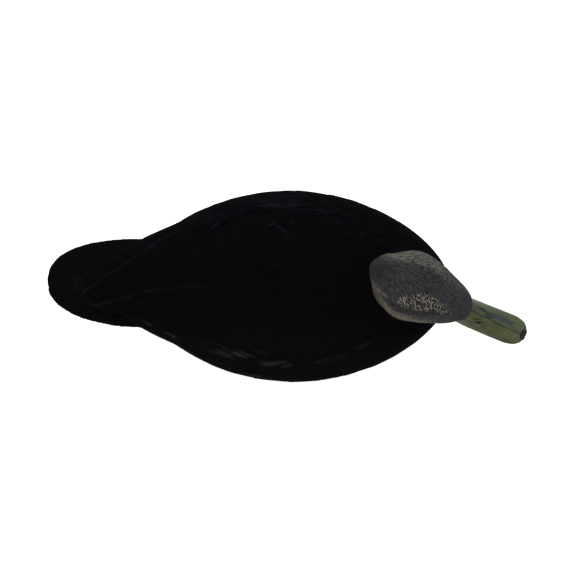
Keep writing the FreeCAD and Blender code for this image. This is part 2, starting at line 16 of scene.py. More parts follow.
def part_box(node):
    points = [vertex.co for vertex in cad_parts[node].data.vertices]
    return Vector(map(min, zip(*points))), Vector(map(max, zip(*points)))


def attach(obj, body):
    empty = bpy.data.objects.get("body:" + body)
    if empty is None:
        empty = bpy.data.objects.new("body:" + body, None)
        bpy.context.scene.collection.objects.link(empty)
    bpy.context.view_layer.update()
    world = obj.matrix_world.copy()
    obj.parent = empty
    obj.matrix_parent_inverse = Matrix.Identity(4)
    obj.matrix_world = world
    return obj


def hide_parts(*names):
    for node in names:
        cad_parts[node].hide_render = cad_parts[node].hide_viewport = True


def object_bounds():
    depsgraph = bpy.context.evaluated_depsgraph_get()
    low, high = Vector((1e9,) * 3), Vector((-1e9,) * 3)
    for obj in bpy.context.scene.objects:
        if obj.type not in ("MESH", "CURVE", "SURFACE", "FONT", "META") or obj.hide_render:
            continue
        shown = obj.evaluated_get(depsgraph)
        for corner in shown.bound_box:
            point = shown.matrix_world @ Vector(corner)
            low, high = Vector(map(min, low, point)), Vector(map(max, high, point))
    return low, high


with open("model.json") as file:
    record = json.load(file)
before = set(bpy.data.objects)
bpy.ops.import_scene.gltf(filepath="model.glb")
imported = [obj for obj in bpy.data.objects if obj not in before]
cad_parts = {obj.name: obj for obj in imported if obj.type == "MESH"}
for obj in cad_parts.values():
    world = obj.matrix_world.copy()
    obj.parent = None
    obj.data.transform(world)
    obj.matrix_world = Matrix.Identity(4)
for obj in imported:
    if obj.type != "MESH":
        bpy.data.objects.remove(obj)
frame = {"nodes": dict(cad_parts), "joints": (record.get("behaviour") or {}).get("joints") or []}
CAD_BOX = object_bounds()

MM = 0.001

# ---- places taken from the frame ----
HEAD_JOINT = next(j for j in frame["joints"] if j["name"] == "head_turn")
NECK_X = HEAD_JOINT["pos_m"][0] / MM
HEAD_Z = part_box("head_shell")[0].z / MM
SEAM_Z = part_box("back_shell")[0].z / MM
SEAT_Z = HEAD_JOINT["pos_m"][2] / MM
TAIL_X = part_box("back_shell")[0].x / MM
BREAST_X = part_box("back_shell")[1].x / MM

# ---- places of the body ----
RUMP_X = -184.0
WIDEST_X = 6.0
HALF_WIDTH = 85.0
HAUNCH_X = -93.0
WING_FRONT_X = -45.0
WING_RIM = 2.6
FAN_ROOT_X = -104.0
FAN_SHOULDER_X = -130.0
FAN_HALF = 39.8
FAN_ARCH = 5.0
FEATHER_CENTRE_X = -92.0
FEATHER_PITCH = 5.6
SEAT_R = 27.5
SEAT_FOOT_Z = 97.0
HEAD_TURN = math.radians(-22.5)

# ---- fineness of the fused meshes, and the light that the paint colours allow for ----
BODY_VOXEL = 1.0
HEAD_VOXEL = 0.5
STUDIO_LEVEL = 1.5

# ---- lines of the body, (x, value) ----
BACK_LINE = (
    (-184, 107), (-160, 109), (-130, 112), (-100, 115.5), (-60, 121), (-20, 124.3),
    (20, 124.3), (60, 119.8), (80, 117.5), (100, 116), (145, 112),
)
BELLY_LINE = (
    (-184, 96), (-165, 86), (-145, 70), (-120, 54), (-95, 43), (-60, 35.5), (-20, 32.3),
    (20, 32), (60, 33), (100, 36.5), (145, 44),
)
WIDEST_LINE = ((-184, 101), (-160, 97), (-130, 91), (-100, 84), (-60, 77), (145, 77))
RUMP_HALF = ((-184, 4), (-170, 14), (-155, 23), (-140, 32), (-128, 40.3), (-93, 57.1))
FAN_TOP = ((-211, 107), (-180, 104), (-150, 100.5), (-104, 96))
FAN_THICK = ((-211, 4), (-190, 7), (-150, 9), (-104, 11))
SEAT_SIDE = ((97, 24), (104, 14.5), (110, 7.5), (116, 2), (120, 0))
SEAT_FRONT = ((97, 14.5), (104, 11.5), (110, 7.2), (116, 2.6), (120, 0))
SEAT_FULL = ((97, 1.3), (104, 1.38), (110, 1.55), (116, 1.85), (120, 2))

# ---- folded wings, in plan ----
LEFT_INNER = (
    (-182, -14.5), (-180.5, -18.5), (-178, -20), (-171, -20.8), (-164, -20.4), (-152, -17.7),
    (-135, -12.8), (-125, -9), (-112, -6.5), (-98, -5.4), (-76, -4.3), (-45, -3.5),
)
LEFT_OUTER = (
    (-182, -14.5), (-180.5, -12), (-177, -9.6), (-166, -1), (-149, 11), (-123, 30.2),
    (-107, 41), (-93, 48.2), (-70, 51), (-45, 56),
)
RIGHT_OUTER = (
    (-181.2, 0.5), (-180.4, -5), (-178, -13), (-169, -22.5), (-160, -25.2), (-145, -28.6),
    (-127, -33.6), (-117, -38.2), (-108, -43.6), (-95, -50), (-70, -55), (-45, -60),
)
RIGHT_INNER = ((-181.2, 0.5), (-179.5, 4.2), (-176, 7.2), (-168, 7.6), (-140, 6), (-45, 3))
LEFT_LIFT = ((-184, 3.4), (-150, 3.3), (-125, 2.6), (-100, 1.5), (-75, 0.7), (-45, 0.0))
RIGHT_LIFT = ((-184, 1.3), (-150, 1.2), (-120, 1.2), (-95, 1.2), (-70, 0.6), (-45, 0.0))
WING_HALF = ((-184, 25), (-165, 31.5), (-145, 37.5), (-128, 42.5), (-110, 50), (-93, 57.1))
WING_DROP = ((-184, 6), (-165, 9), (-145, 14), (-128, 21), (-93, 34.2))
# how strongly the wing rims are painted paler along x, (x, value): rubbed wear and painted highlight
RIM_WEAR_AND_HIGHLIGHT = (
    (-184, 1.0), (-176, 0.95), (-166, 0.5), (-120, 0.42), (-90, 0.30), (-60, 0.1), (-45, 0.0),
)
POCKET_SEAM = (
    (-110, 38), (-88, 47), (-70, 50.5), (-59, 54), (-42, 60.5), (-15, 66.3), (11, 68.5),
    (22, 68), (42, 62), (58, 55), (73, 47), (88, 38),
)
# line along the left flank painted paler, (x, y): rubbed wear and painted highlight
FLANK_RUB_AND_HIGHLIGHT_LINE = ((-95, 54), (-50, 66), (-20, 70), (12, 71), (34, 65), (56, 53), (95, 38))
# wing rims painted paler, (plan line, share): rubbed wear and painted highlight
WING_RIMS = ((LEFT_INNER, 0.62), (LEFT_OUTER, 0.32), (RIGHT_OUTER, 0.2))

# ---- lines of the head, (height over the neck's foot, value) ----
HEAD_H = 70.5
DOME_H = 46.0
NAPE_SWING = 2.2
HEAD_CENTRE = ((0, 0), (14, 0), (26, 3), (38, 7), (70.5, 11))
HEAD_NAPE = ((0, -25), (12, -26.5), (22, -29), (34, -31.5), (46, -32.5), (70.5, -27))
HEAD_FACE = (
    (0, 25), (11, 25), (17, 27.5), (23, 34), (28, 43), (33, 54), (39, 62), (46, 64.5),
    (54, 57), (60, 51), (66, 45), (70.5, 41),
)
HEAD_CHEEK = ((0, 25), (11, 25), (22, 26), (32, 27.8), (42, 29), (52, 28.6), (70.5, 27.5))
FACE_FULL = ((0, 2), (20, 2), (34, 1.55), (50, 1.5), (70.5, 1.8))
NAPE_FULL = ((0, 2), (11, 2), (24, 1.8), (34, 1.65), (46, 1.6), (70.5, 1.9))

# ---- where the face feathers end, (degrees round the bill, distance forward) ----
FACE_BORDER = (
    (-90, 74), (-45, 62), (-15, 53.5), (0, 51), (15, 53.5), (30, 56.0), (60, 59.2), (90, 60.6),
)

# ---- lines of the bill, (distance forward of the neck axis, value) ----
BILL_HALF = (
    (44, 11.3), (60, 12), (80, 12.3), (94, 12.5), (100, 12.1), (106, 10.6), (110, 7.7),
    (112.2, 3.5),
)
BILL_RIDGE = (
    (44, 57), (56, 54.5), (64, 50.5), (72, 47), (84, 43.4), (98, 40.4), (107, 38), (112.2, 34),
)
BILL_UNDER = ((44, 29), (64, 30.5), (82, 30.8), (100, 30.2), (107, 30.2), (112.2, 31))
BILL_EDGE = ((44, 38), (64, 36.5), (82, 35.2), (100, 33.8), (112.2, 32.2))
BILL_PEAK = ((44, 1.35), (66, 1.3), (84, 1.0), (100, 0.85), (112.2, 0.9))
BILL_AXIS = ((44, -1.2), (75, -0.7), (95, -0.2), (112.2, 0.4))
BILL_ROOT = 44.0
BILL_TIP = 112.2
GAPE_LINE = ((46, 38.2), (60, 36.4), (75, 35.2), (95, 34.0), (108, 33.6))
NOSTRIL_U, NOSTRIL_V = 70.3, 5.8
NAIL_U = 110.9
EYE_U, EYE_H = 29.6, 42.0
LID_TILT = 0.12

# ---- lines of the painted feathers, in plan ----
PARTING = ((-30, -2), (-11, 5), (42, 5.2))
BRIGHT_LINE = (
    (-2, -18), (6, -15.8), (12, -13.2), (20, -11.2), (30, -10.8), (38, -10.2), (46, -9),
)
BRIGHT_HALF = ((-2, 2.2), (8, 4.6), (16, 7.4), (28, 7.4), (38, 4.8), (46, 2.4))
PALE_EDGE = ((-29, 4), (-16, 12), (-4, 17), (14, 18), (32, 15), (46, 12))
DARK_LINE = (
    (-24, -14.5), (-16, -19.9), (-9, -22.5), (1.4, -24.2), (14, -22.3), (26, -17.6), (36, -14.4),
)
CHEEK_RIM = ((-26, 14), (-16, 20), (0, 24), (14, 22.5), (26, 18), (40, 15))
BUFF_LINE = ((-24, -12.4), (-15.3, -16.4), (-9.2, -18.1), (-3, -19))
EYE_LINE = ((-30, 38), (-5, 41), (15, 43.0), (30, 42.5), (52, 40.5))
BROW_LINE = ((8, 50), (18, 51.5), (30, 51.2), (42, 48.5), (52, 45))
STREAK_TURNS = (-2.0, -38.0, 29.0)
SIDE_STREAK_TURN = 16.0

# ---- brush strokes on the bill: plan line, half width, colour, strength ----
SMOKE_LINE = ((75, 3.2), (81, 4.0), (87, 4.3), (96, 4.0), (101, 3.4))
SMOKE_RIM = ((74, 4.6), (81, 6.2), (89, 6.6), (99, 6.0))
BILL_STROKES = (
    (((66.5, 5.6), (71.2, 4.2), (76, 2.6)), 0.55, (47, 49, 50), 0.9),
    (((69.5, 6.2), (73, 5.2), (78, 4.4)), 0.4, (54, 58, 58), 0.7),
    (((66.5, -0.6), (71, -1.1), (76, 1.2)), 0.5, (46, 49, 42), 0.8),
    (((70.5, 0.9), (75, 1.6), (80, 2.4)), 0.45, (50, 54, 50), 0.7),
    (((57.6, 5.6), (61.2, 6.9), (64.6, 5.4)), 1.1, (55, 66, 60), 0.7),
    (((60.5, 0.7), (64, 0.2), (67.5, -0.4)), 0.35, (44, 52, 36), 0.8),
    (((75, 0.6), (84, -0.4), (92.7, -0.6), (107, -0.6)), 0.34, (42, 50, 41), 0.9),
    (((65.5, -5.3), (68.4, -3.9), (71, -3.1)), 0.45, (38, 43, 30), 0.85),
    (((73.6, -4.8), (76.3, -3.6)), 0.4, (50, 54, 36), 0.7),
    (((81, 10.6), (88.4, 10.6), (100, 10.2)), 0.25, (66, 66, 48), 0.7),
)

# ---- lapped feather edges on the back and flanks: plan line, step height, reach, share of rubbed wear and painted highlight ----
FEATHER_EDGES = (
    # left wing and flank
    (((-129, 20), (-123, 26.6), (-110, 37.2), (-100, 42.6)), 0.9, 5, 0.35),
    (((-69, 45), (-65, 49.5), (-58, 54)), 0.9, 5, 0.8),
    (((-22, 49.7), (-12, 52), (-7, 47.4), (3, 40)), 1.1, 5, 0.9),
    (((-43, 64.8), (-31, 66.1), (-23, 68.5), (-11, 69.9), (10, 72)), 0.8, 4, 0.6),
    (((-17, 66.4), (-10, 67.1), (0, 68.4), (9, 69.5), (16, 69.4)), 0.6, 4, 0.7),
    (((19, 64.1), (27, 65.5), (33, 62.7), (41, 63.1)), 0.6, 4, 0.4),
    (((25, 59), (31, 57.5)), 0.4, 3, 0.3),
    (((0, 52.2), (5, 54)), 0.4, 3, 0.4),
    (((40, 64.2), (47, 61), (53, 55.4), (60, 48.8), (70, 42)), 0.7, 5, 0.3),
    (((-17, 76.2), (-6, 77.5), (7, 79), (19, 77.5)), 0.6, 4, 0.45),
    (((-40, 71), (-17, 74), (-5, 74.6)), 0.6, 4, 0.4),
    # right wing and flank
    (((-117, -38.4), (-122, -35.8), (-128, -32.6)), 0.5, 3, 1.0),
    (((-95, -48.8), (-101, -45.6), (-108, -43.2)), 0.5, 3, 1.0),
    (((-44, -64.7), (-55, -60.2), (-63, -57)), 0.7, 4, 1.0),
    (((-32, -64.7), (-39, -63), (-49, -59), (-58, -54.8)), 0.9, 4, 1.2),
    (((-26, -64.4), (-35, -61), (-48, -56.1)), 0.6, 4, 0.7),
    (((4, -69.4), (-1, -67), (-6, -67.7), (-17, -68.6), (-27, -67.3)), 0.8, 4, 0.75),
    (((-6, -68.8), (-14, -70), (-26, -70.2)), 0.6, 3, 1.0),
    (((-20, -80.4), (-32, -79.8), (-41, -77.8)), 0.6, 3, 0.9),
    (((-14, -60.7), (-22, -59.3), (-30, -56.6)), 0.5, 4, 0.4),
    (((6, -69.6), (-6, -72)), 0.5, 4, 0.5),
    (((41, -61.8), (31, -65.6), (22, -68.6)), 0.6, 4, 0.28),
    (((55, -60.1), (47, -61.7), (36, -65.5), (26, -70)), 0.6, 4, 0.2),
    (((74, -48.2), (67, -51.9), (60, -56.4)), 0.7, 4, 0.4),
    (((-41, -67.5), (-52, -63.4), (-64, -59.2), (-76, -55.7)), 0.6, 4, 0.5),
)


# ==== numbers and noise ====
def curve(stations, x):
    """Smooth curve through (place, value) stations that never overshoots them."""
    place = np.array([p for p, _ in stations], float)
    value = np.array([v for _, v in stations], float)
    chord = np.diff(value) / np.diff(place)
    before, after = chord[:-1], chord[1:]
    same_way = before * after > 0
    total = np.where(same_way, before + after, 1.0)
    middle = np.where(same_way, 2 * before * after / total, 0.0)
    slope = np.concatenate([[chord[0]], middle, [chord[-1]]])
    x = np.clip(np.asarray(x, float), place[0], place[-1])
    k = np.clip(np.searchsorted(place, x, side="right") - 1, 0, len(place) - 2)
    width = place[k + 1] - place[k]
    t = (x - place[k]) / width
    rise = t * t * (3 - 2 * t)
    start = t * (1 - t) ** 2
    end = t * t * (t - 1)
    bend = width * (slope[k] * start + slope[k + 1] * end)
    return value[k] + (value[k + 1] - value[k]) * rise + bend


def ramp(low, high, x):
    """0 below low, 1 above high, smooth in between. low may be the larger one."""
    t = np.clip((x - low) / (high - low), 0.0, 1.0)
    return t * t * (3 - 2 * t)


def hill(x, width):
    return np.exp(-((x / width) ** 2))


def circle(count):
    """Cosines and sines of evenly spaced angles, once round."""
    around = np.linspace(0, 2 * math.pi, count + 1)[:-1]
    return np.cos(around), np.sin(around)


def signed_power(x, power):
    return np.sign(x) * np.abs(x) ** power


def lattice(ix, iy, iz, seed):
    """Repeatable random number from 0 to 1 for each whole-number corner."""
    n = (ix * 374761393 + iy * 668265263 + iz * 1103515245 + seed * 1274126177) & 0xFFFFFFFF
    n = ((n ^ (n >> 13)) * 1274126177) & 0xFFFFFFFF
    return ((n ^ (n >> 16)) & 0xFFFFFF) / float(0xFFFFFF)


def noise(points, cell, seed):
    """Smooth noise from -1 to 1. cell is the size of a lump, one number or three."""
    p = points / np.asarray(cell, float)
    base = np.floor(p).astype(np.int64)
    f = p - base
    f = f * f * (3 - 2 * f)
    total = np.zeros(len(p))
    for corner in np.ndindex(2, 2, 2):
        weight = np.prod(np.where(corner, f, 1 - f), axis=1)
        total += weight * lattice(*(base + corner).T, seed)
    return 2 * total - 1


def turned(points, angle, axes=(0, 1)):
    """points with two of their axes turned so that the first runs along angle (degrees)."""
    c, s = math.cos(math.radians(angle)), math.sin(math.radians(angle))
    a, b = axes
    out = points.copy()
    out[:, a] = points[:, a] * c + points[:, b] * s
    out[:, b] = points[:, b] * c - points[:, a] * s
    return out


def linear(colour):
    """Display colour (0 to 255) to scene light, allowing for the strength of the studio light."""
    c = np.asarray(colour, float) / 255.0
    light = np.where(c <= 0.04045, c / 12.92, ((c + 0.055) / 1.055) ** 2.4)
    return light / STUDIO_LEVEL


# ==== meshes ====
def section(x, y, z):
    """Points of one ring of a loft; a plain number stands for all of them."""
    return np.stack(np.broadcast_arrays(x, y, z), 1)


def loft(rings):
    """Points and faces of a closed skin through rings of equal count, capped at both ends."""
    count = len(rings[0])
    faces = []
    for r in range(len(rings) - 1):
        for k in range(count):
            a = r * count + k
            b = r * count + (k + 1) % count
            faces.append((a, b, b + count, a + count))
    last = (len(rings) - 1) * count
    faces.append(tuple(range(count))[::-1])
    faces.append(tuple(last + k for k in range(count)))
    return np.concatenate(rings), faces


def fused(name, solids, voxel):
    """One closed mesh round several overlapping solids, in millimetres."""
    points, faces, start = [], [], 0
    for some_points, some_faces in solids:
        points.append(some_points)
        faces += [tuple(start + i for i in face) for face in some_faces]
        start += len(some_points)
    rough = bpy.data.meshes.new(name + "_rough")
    rough.from_pydata(np.concatenate(points).tolist(), [], faces)
    holder = bpy.data.objects.new(name + "_rough", rough)
    bpy.context.scene.collection.objects.link(holder)
    remesh = holder.modifiers.new("fuse", "REMESH")
    remesh.mode = "VOXEL"
    remesh.voxel_size = voxel
    bpy.context.view_layer.update()
    graph = bpy.context.evaluated_depsgraph_get()
    mesh = bpy.data.meshes.new_from_object(holder.evaluated_get(graph))
    mesh.name = name
    bpy.data.objects.remove(holder)
    bpy.data.meshes.remove(rough)
    return mesh


def places(mesh):
    co = np.zeros(len(mesh.vertices) * 3)
    mesh.vertices.foreach_get("co", co)
    return co.reshape(-1, 3)


def set_places(mesh, co):
    mesh.vertices.foreach_set("co", co.astype(np.float32).ravel())
    mesh.update()


def normals(mesh):
    n = np.zeros(len(mesh.vertices) * 3)
    mesh.vertex_normals.foreach_get("vector", n)
    return n.reshape(-1, 3)


def edge_pairs(mesh):
    e = np.zeros(len(mesh.edges) * 2, np.int64)
    mesh.edges.foreach_get("vertices", e)
    return e.reshape(-1, 2)


def neighbour_mean(values, pairs):
    """Mean of each vertex's neighbours' values."""
    count = np.bincount(pairs.ravel(), minlength=len(values))
    columns = values.reshape(len(values), -1)
    total = np.empty_like(columns)
    for k in range(columns.shape[1]):
        total[:, k] = np.bincount(pairs[:, 0], columns[pairs[:, 1], k], len(values))
        total[:, k] += np.bincount(pairs[:, 1], columns[pairs[:, 0], k], len(values))
    return (total / count[:, None]).reshape(values.shape)


def relaxed(values, pairs, rounds, share=0.5):
    for _ in range(rounds):
        values = values * (1 - share) + neighbour_mean(values, pairs) * share
    return values


def convexity(mesh, pairs):
    """How sharply the surface bends outwards at each vertex, in millimetres of bulge."""
    co = places(mesh)
    bulge = np.einsum("ij,ij->i", co - neighbour_mean(co, pairs), normals(mesh))
    return relaxed(bulge, pairs, 2)


def store(mesh, name, values):
    """Keeps numbers or vectors on the vertices for the materials to read."""
    values = np.asarray(values, np.float32)
    kind, key = ("FLOAT", "value") if values.ndim == 1 else ("FLOAT_VECTOR", "vector")
    mesh.attributes.new(name, kind, "POINT").data.foreach_set(key, values.ravel())


def piece(name, mesh, material, body, node):
    """Puts a finished mesh in the scene in place of a CAD node."""
    mesh.polygons.foreach_set("use_smooth", np.ones(len(mesh.polygons), bool))
    mesh.materials.clear()
    mesh.materials.append(material)
    thing = bpy.data.objects.new(name, mesh)
    bpy.context.scene.collection.objects.link(thing)
    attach(thing, body)
    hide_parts(node)


# ==== material building blocks ====
class Finish:
    """A procedural material under construction."""

    def __init__(self, name):
        self.material = bpy.data.materials.new(name)
        self.material.use_nodes = True
        self.tree = self.material.node_tree
        self.shader = self.tree.nodes["Principled BSDF"]

    def put(self, socket, value):
        if isinstance(value, bpy.types.NodeSocket):
            self.tree.links.new(value, socket)
        elif value is not None:
            if hasattr(value, "__len__") and len(value) == 3 and socket.type == "RGBA":
                value = (*value, 1.0)
            socket.default_value = value

    def node(self, kind, inputs=(), out=0, **settings):
        made = self.tree.nodes.new("ShaderNode" + kind)
        for key, value in settings.items():
            setattr(made, key, value)
        for key, value in dict(inputs).items():
            self.put(made.inputs[key], value)
        return made.outputs[out]

    def attribute(self, name, vector=False):
        out = 1 if vector else 2
        return self.node("Attribute", (), out, attribute_name=name, attribute_type="GEOMETRY")

    def place(self):
        return self.node("TexCoord", out=3)

    def stretched(self, vector, size, turn=(0, 0, 0)):
        """vector in cells of the given size, one number or three, turned first (degrees)."""
        if not hasattr(size, "__len__"):
            size = (size, size, size)
        angles = tuple(math.radians(a) for a in turn)
        return self.node("Mapping", {0: vector, 2: angles, 3: size}, vector_type="TEXTURE")

    def grain(self, vector, detail=2.0, rough=0.5, warp=0.0):
        inputs = {"Vector": vector, "Scale": 1.0, "Detail": detail, "Roughness": rough}
        return self.node("TexNoise", {**inputs, "Distortion": warp})

    def maths(self, operation, *values):
        return self.node("Math", enumerate(values), operation=operation)

    def span(self, value, low, high, to_low=0.0, to_high=1.0):
        return self.node("MapRange", enumerate((value, low, high, to_low, to_high)), clamp=True)

    def blend(self, share, a, b):
        return self.node("Mix", {0: share, 6: a, 7: b}, 2, data_type="RGBA")

    def blend_value(self, share, a, b):
        return self.node("Mix", {0: share, 2: a, 3: b}, data_type="FLOAT")

    def relief(self, height, depth, strength=1.0, under=None):
        inputs = {"Height": height, "Distance": depth, "Strength": strength, "Normal": under}
        return self.node("Bump", inputs)

    def surface(self, **inputs):
        for key, value in inputs.items():
            self.put(self.shader.inputs[key.replace("_", " ")], value)
        return self.material


# ==== finishes ====
def flock_finish():
    """Short dense matt fibres, near black, paler where edges stand proud: partly rubbed wear, partly
    painted highlight; painted light also lightens some parts and tints the pale edges.
    """
    f = Finish("flock")
    place = f.place()
    fibre = f.grain(f.stretched(place, 0.00035), 2, 0.6)
    nap = f.grain(f.stretched(place, (0.014, 0.006, 0.010)), 3, 0.6, 0.6)
    patch = f.grain(f.stretched(place, (0.045, 0.03, 0.03)), 2, 0.5)
    # pale colour of rubbed wear and painted highlight, with a painted light tint: bluish on the left
    # (+y) side, warmer and paler on the right
    worn = f.blend(f.attribute("warm"), linear((37, 40, 48)), linear((58, 57, 56)))
    base = f.blend(f.span(nap, 0.35, 0.68), linear((6.8, 7.4, 9.2)), linear((10.6, 11.3, 13.8)))
    # painted light: lighter flock where the fade attribute is set, on the right wing, the upper breast
    # and the tail fan under the wing tips
    base = f.blend(f.attribute("fade"), base, linear((15.0, 14.6, 16.4)))
    ragged = f.span(fibre, 0.3, 0.7, 0.55, 1.25)
    ragged = f.maths("MULTIPLY", ragged, f.span(nap, 0.3, 0.62, 0.35, 1.0))
    # rubbed wear and painted highlight on the edges, broken into ragged fibre streaks
    streak = f.maths("MULTIPLY", f.attribute("rub"), ragged)
    base = f.blend(f.maths("MINIMUM", streak, 1.0), base, worn)
    base = f.blend(f.span(patch, 0.35, 0.65, 0.0, 0.25), base, linear((11.4, 10.4, 11.6)))
    height = f.maths("ADD", f.maths("MULTIPLY", fibre, 0.35), f.maths("MULTIPLY", nap, 0.65))
    return f.surface(
        Base_Color=base, Roughness=1.0, Specular_IOR_Level=0.0, Sheen_Weight=0.006,
        Sheen_Roughness=0.5, Sheen_Tint=(0.92, 0.94, 1.0, 1.0),
        Normal=f.relief(height, 0.0006, 0.8),
    )


def head_finish():
    """Airbrushed feather streaks over a matt moulding, with a washed olive bill."""
    f = Finish("head_paint")
    place = f.attribute("head_place", True)
    along, right, left = [
        f.grain(f.stretched(place, (4.4, 0.86, 1.1), (0, 0, turn)), 1.2, 0.5, 0.2)
        for turn in STREAK_TURNS
    ]
    side = f.grain(f.stretched(place, (4.6, 1.2, 0.85), (0, SIDE_STREAK_TURN, 0)), 2.0, 0.5, 0.25)
    streak = f.blend_value(f.attribute("lean_right"), along, right)
    streak = f.blend_value(f.attribute("lean_left"), streak, left)
    streak = f.blend_value(f.attribute("lean_side"), streak, side)
    level = f.maths("MULTIPLY_ADD", f.attribute("cover"), -0.30, 0.65)
    soft = f.attribute("soft")
    marks = f.span(streak, f.maths("SUBTRACT", level, soft), f.maths("ADD", level, soft))
    cloud = f.grain(f.stretched(place, (7.0, 5.0, 6.0)), 3, 0.55)
    speck = f.grain(f.stretched(place, 0.5), 2, 0.6)
    paint = f.blend(marks, f.attribute("paint_low", True), f.attribute("paint_high", True))
    tone = f.span(cloud, 0.3, 0.7, 0.9, 1.1)
    tone = f.maths("MULTIPLY", tone, f.span(speck, 0.3, 0.7, 0.88, 1.12))
    paint = f.node("VectorMath", {0: paint, 3: tone}, operation="SCALE")
    feathers = f.attribute("feathers")
    groove = f.maths("MULTIPLY", streak, f.maths("MULTIPLY_ADD", feathers, 0.9, 0.1))
    normal = f.relief(groove, 0.0009, 0.55)
    normal = f.relief(speck, 0.00012, 0.5, normal)
    rough = f.blend_value(feathers, f.span(speck, 0.3, 0.7, 0.42, 0.58), 0.72)
    return f.surface(
        Base_Color=paint, Roughness=rough, Normal=normal,
        Specular_IOR_Level=f.blend_value(feathers, 0.10, 0.04),
    )


def eye_finish(sign):
    """Glossy brown iris with a black pupil, set out from the eye's own axis."""
    f = Finish("eye_glass_" + ("left" if sign > 0 else "right"))
    lo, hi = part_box("eye_left" if sign > 0 else "eye_right")
    centre = (lo + hi) / 2
    aim = Vector((math.sin(-HEAD_TURN) * sign, math.cos(HEAD_TURN) * sign, 0.0))
    away = f.node("VectorMath", {0: f.place(), 1: tuple(centre)}, operation="SUBTRACT")
    along = f.node("VectorMath", {0: away, 1: tuple(aim)}, out=1, operation="DOT_PRODUCT")
    size = f.node("VectorMath", {0: away}, out=1, operation="LENGTH")
    angle = f.maths("ARCCOSINE", f.maths("MINIMUM", f.maths("DIVIDE", along, size), 1.0))
    rays = f.grain(f.stretched(f.place(), 0.0004), 3, 0.6)
    iris = f.blend(f.span(rays, 0.3, 0.7), (0.030, 0.012, 0.005), (0.075, 0.032, 0.012))
    rim = f.span(angle, 0.62, 0.86)
    iris = f.blend(rim, iris, (0.006, 0.004, 0.003))
    colour = f.blend(f.span(angle, 0.40, 0.45), (0.002, 0.002, 0.002), iris)
    return f.surface(
        Base_Color=colour, Roughness=f.span(rays, 0.3, 0.7, 0.05, 0.10),
        Specular_IOR_Level=0.12, Coat_Weight=0.08, Coat_Roughness=0.05,
        Normal=f.relief(rays, 0.00002, 0.3),
    )


def plastic_finish(name, colour, worn, grain_mm, rough):
    """Moulded plastic with a fine spark-eroded grain, faint flow marks and scuffs."""
    f = Finish(name)
    place = f.place()
    pebble = f.grain(f.stretched(place, grain_mm * MM), 3, 0.6)
    flow = f.grain(f.stretched(place, (0.030, 0.008, 0.012)), 3, 0.55, 0.8)
    scuff = f.grain(f.stretched(place, (0.0040, 0.0006, 0.0010), (0, 0, 20)), 4, 0.7)
    base = f.blend(f.span(flow, 0.3, 0.7, 0.0, 0.45), colour, worn)
    base = f.blend(f.span(scuff, 0.60, 0.78, 0.0, 0.55), base, worn)
    base = f.blend(f.span(pebble, 0.35, 0.7, 0.0, 0.25), base, worn)
    return f.surface(
        Base_Color=base, Specular_IOR_Level=0.35,
        Roughness=f.span(flow, 0.3, 0.7, rough - 0.06, rough + 0.08),
        Normal=f.relief(scuff, 0.00004, 0.4, f.relief(pebble, 0.00012, 0.6)),
    )


def rubber_finish(name, colour, bloom):
    """Matt rubber with a dusty bloom and tiny pits."""
    f = Finish(name)
    place = f.place()
    pits = f.grain(f.stretched(place, 0.0005), 3, 0.65)
    dust = f.grain(f.stretched(place, (0.006, 0.006, 0.004)), 4, 0.6, 0.4)
    base = f.blend(f.span(dust, 0.42, 0.72, 0.0, 0.7), colour, bloom)
    return f.surface(
        Base_Color=base, Specular_IOR_Level=0.25,
        Roughness=f.span(dust, 0.3, 0.7, 0.62, 0.85),
        Normal=f.relief(pits, 0.0001, 0.6),
    )


def metal_finish(name, colour, tarnish, brush, rough, dull):
    """Metal with brush or cast marks, a film of tarnish and small water spots."""
    f = Finish(name)
    place = f.place()
    marks = f.grain(f.stretched(place, brush), 3, 0.65)
    film = f.grain(f.stretched(place, (0.005, 0.004, 0.004)), 4, 0.6, 0.5)
    spots = f.node("TexVoronoi", {"Vector": f.stretched(place, 0.0025), "Scale": 1.0})
    stain = f.maths("MULTIPLY", f.span(film, 0.40, 0.70), dull)
    base = f.blend(stain, colour, tarnish)
    base = f.blend(f.span(spots, 0.06, 0.16, 0.35 * dull, 0.0), base, tarnish)
    return f.surface(
        Base_Color=base, Metallic=f.blend_value(stain, 1.0, 0.75),
        Roughness=f.blend_value(f.span(marks, 0.3, 0.7), rough - 0.05, rough + 0.14),
        Normal=f.relief(marks, 0.00005, 0.5),
    )


# ==== the flocked upper body ====
def half_width(x):
    forward = HALF_WIDTH * (1 - np.clip((x - WIDEST_X) / 139, 0, 1) ** 1.8) ** 0.56
    back = HALF_WIDTH * (1 - np.clip((WIDEST_X - x) / 144, 0, 1) ** 2) ** 0.6
    rear = np.maximum(back, curve(RUMP_HALF, x))
    return np.where(x > WIDEST_X, forward, np.where(x > HAUNCH_X, back, rear))


def breast_round(x):
    return np.sqrt(np.maximum(0, 1 - np.clip((x - 90) / 55, 0, 1) ** 4))


def body_form():
    """The body with its sides stopped a little below the seam."""
    c, s = circle(180)
    fullness = np.where(s > 0, 2.1, 2.5)
    stations = np.concatenate([
        np.linspace(RUMP_X, 120, 200), np.linspace(121, BREAST_X - 1, 24),
        BREAST_X - np.array([0.7, 0.4, 0.2, 0.05]),
    ])
    rings = []
    for x in stations:
        level = curve(WIDEST_LINE, x)
        rise = (curve(BACK_LINE, x) - level) * breast_round(x)
        fall = (level - curve(BELLY_LINE, x)) * breast_round(x)
        y = half_width(x) * signed_power(c, 2 / fullness)
        z = level + np.where(s > 0, rise, fall) * signed_power(s, 2 / fullness)
        rings.append(section(x, y, np.maximum(z, SEAM_Z - 4)))
    return loft(rings)


def fan_half(x):
    return FAN_HALF * (1 - np.clip((FAN_SHOULDER_X - x) / 81, 0, 0.9999) ** 2) ** 0.4


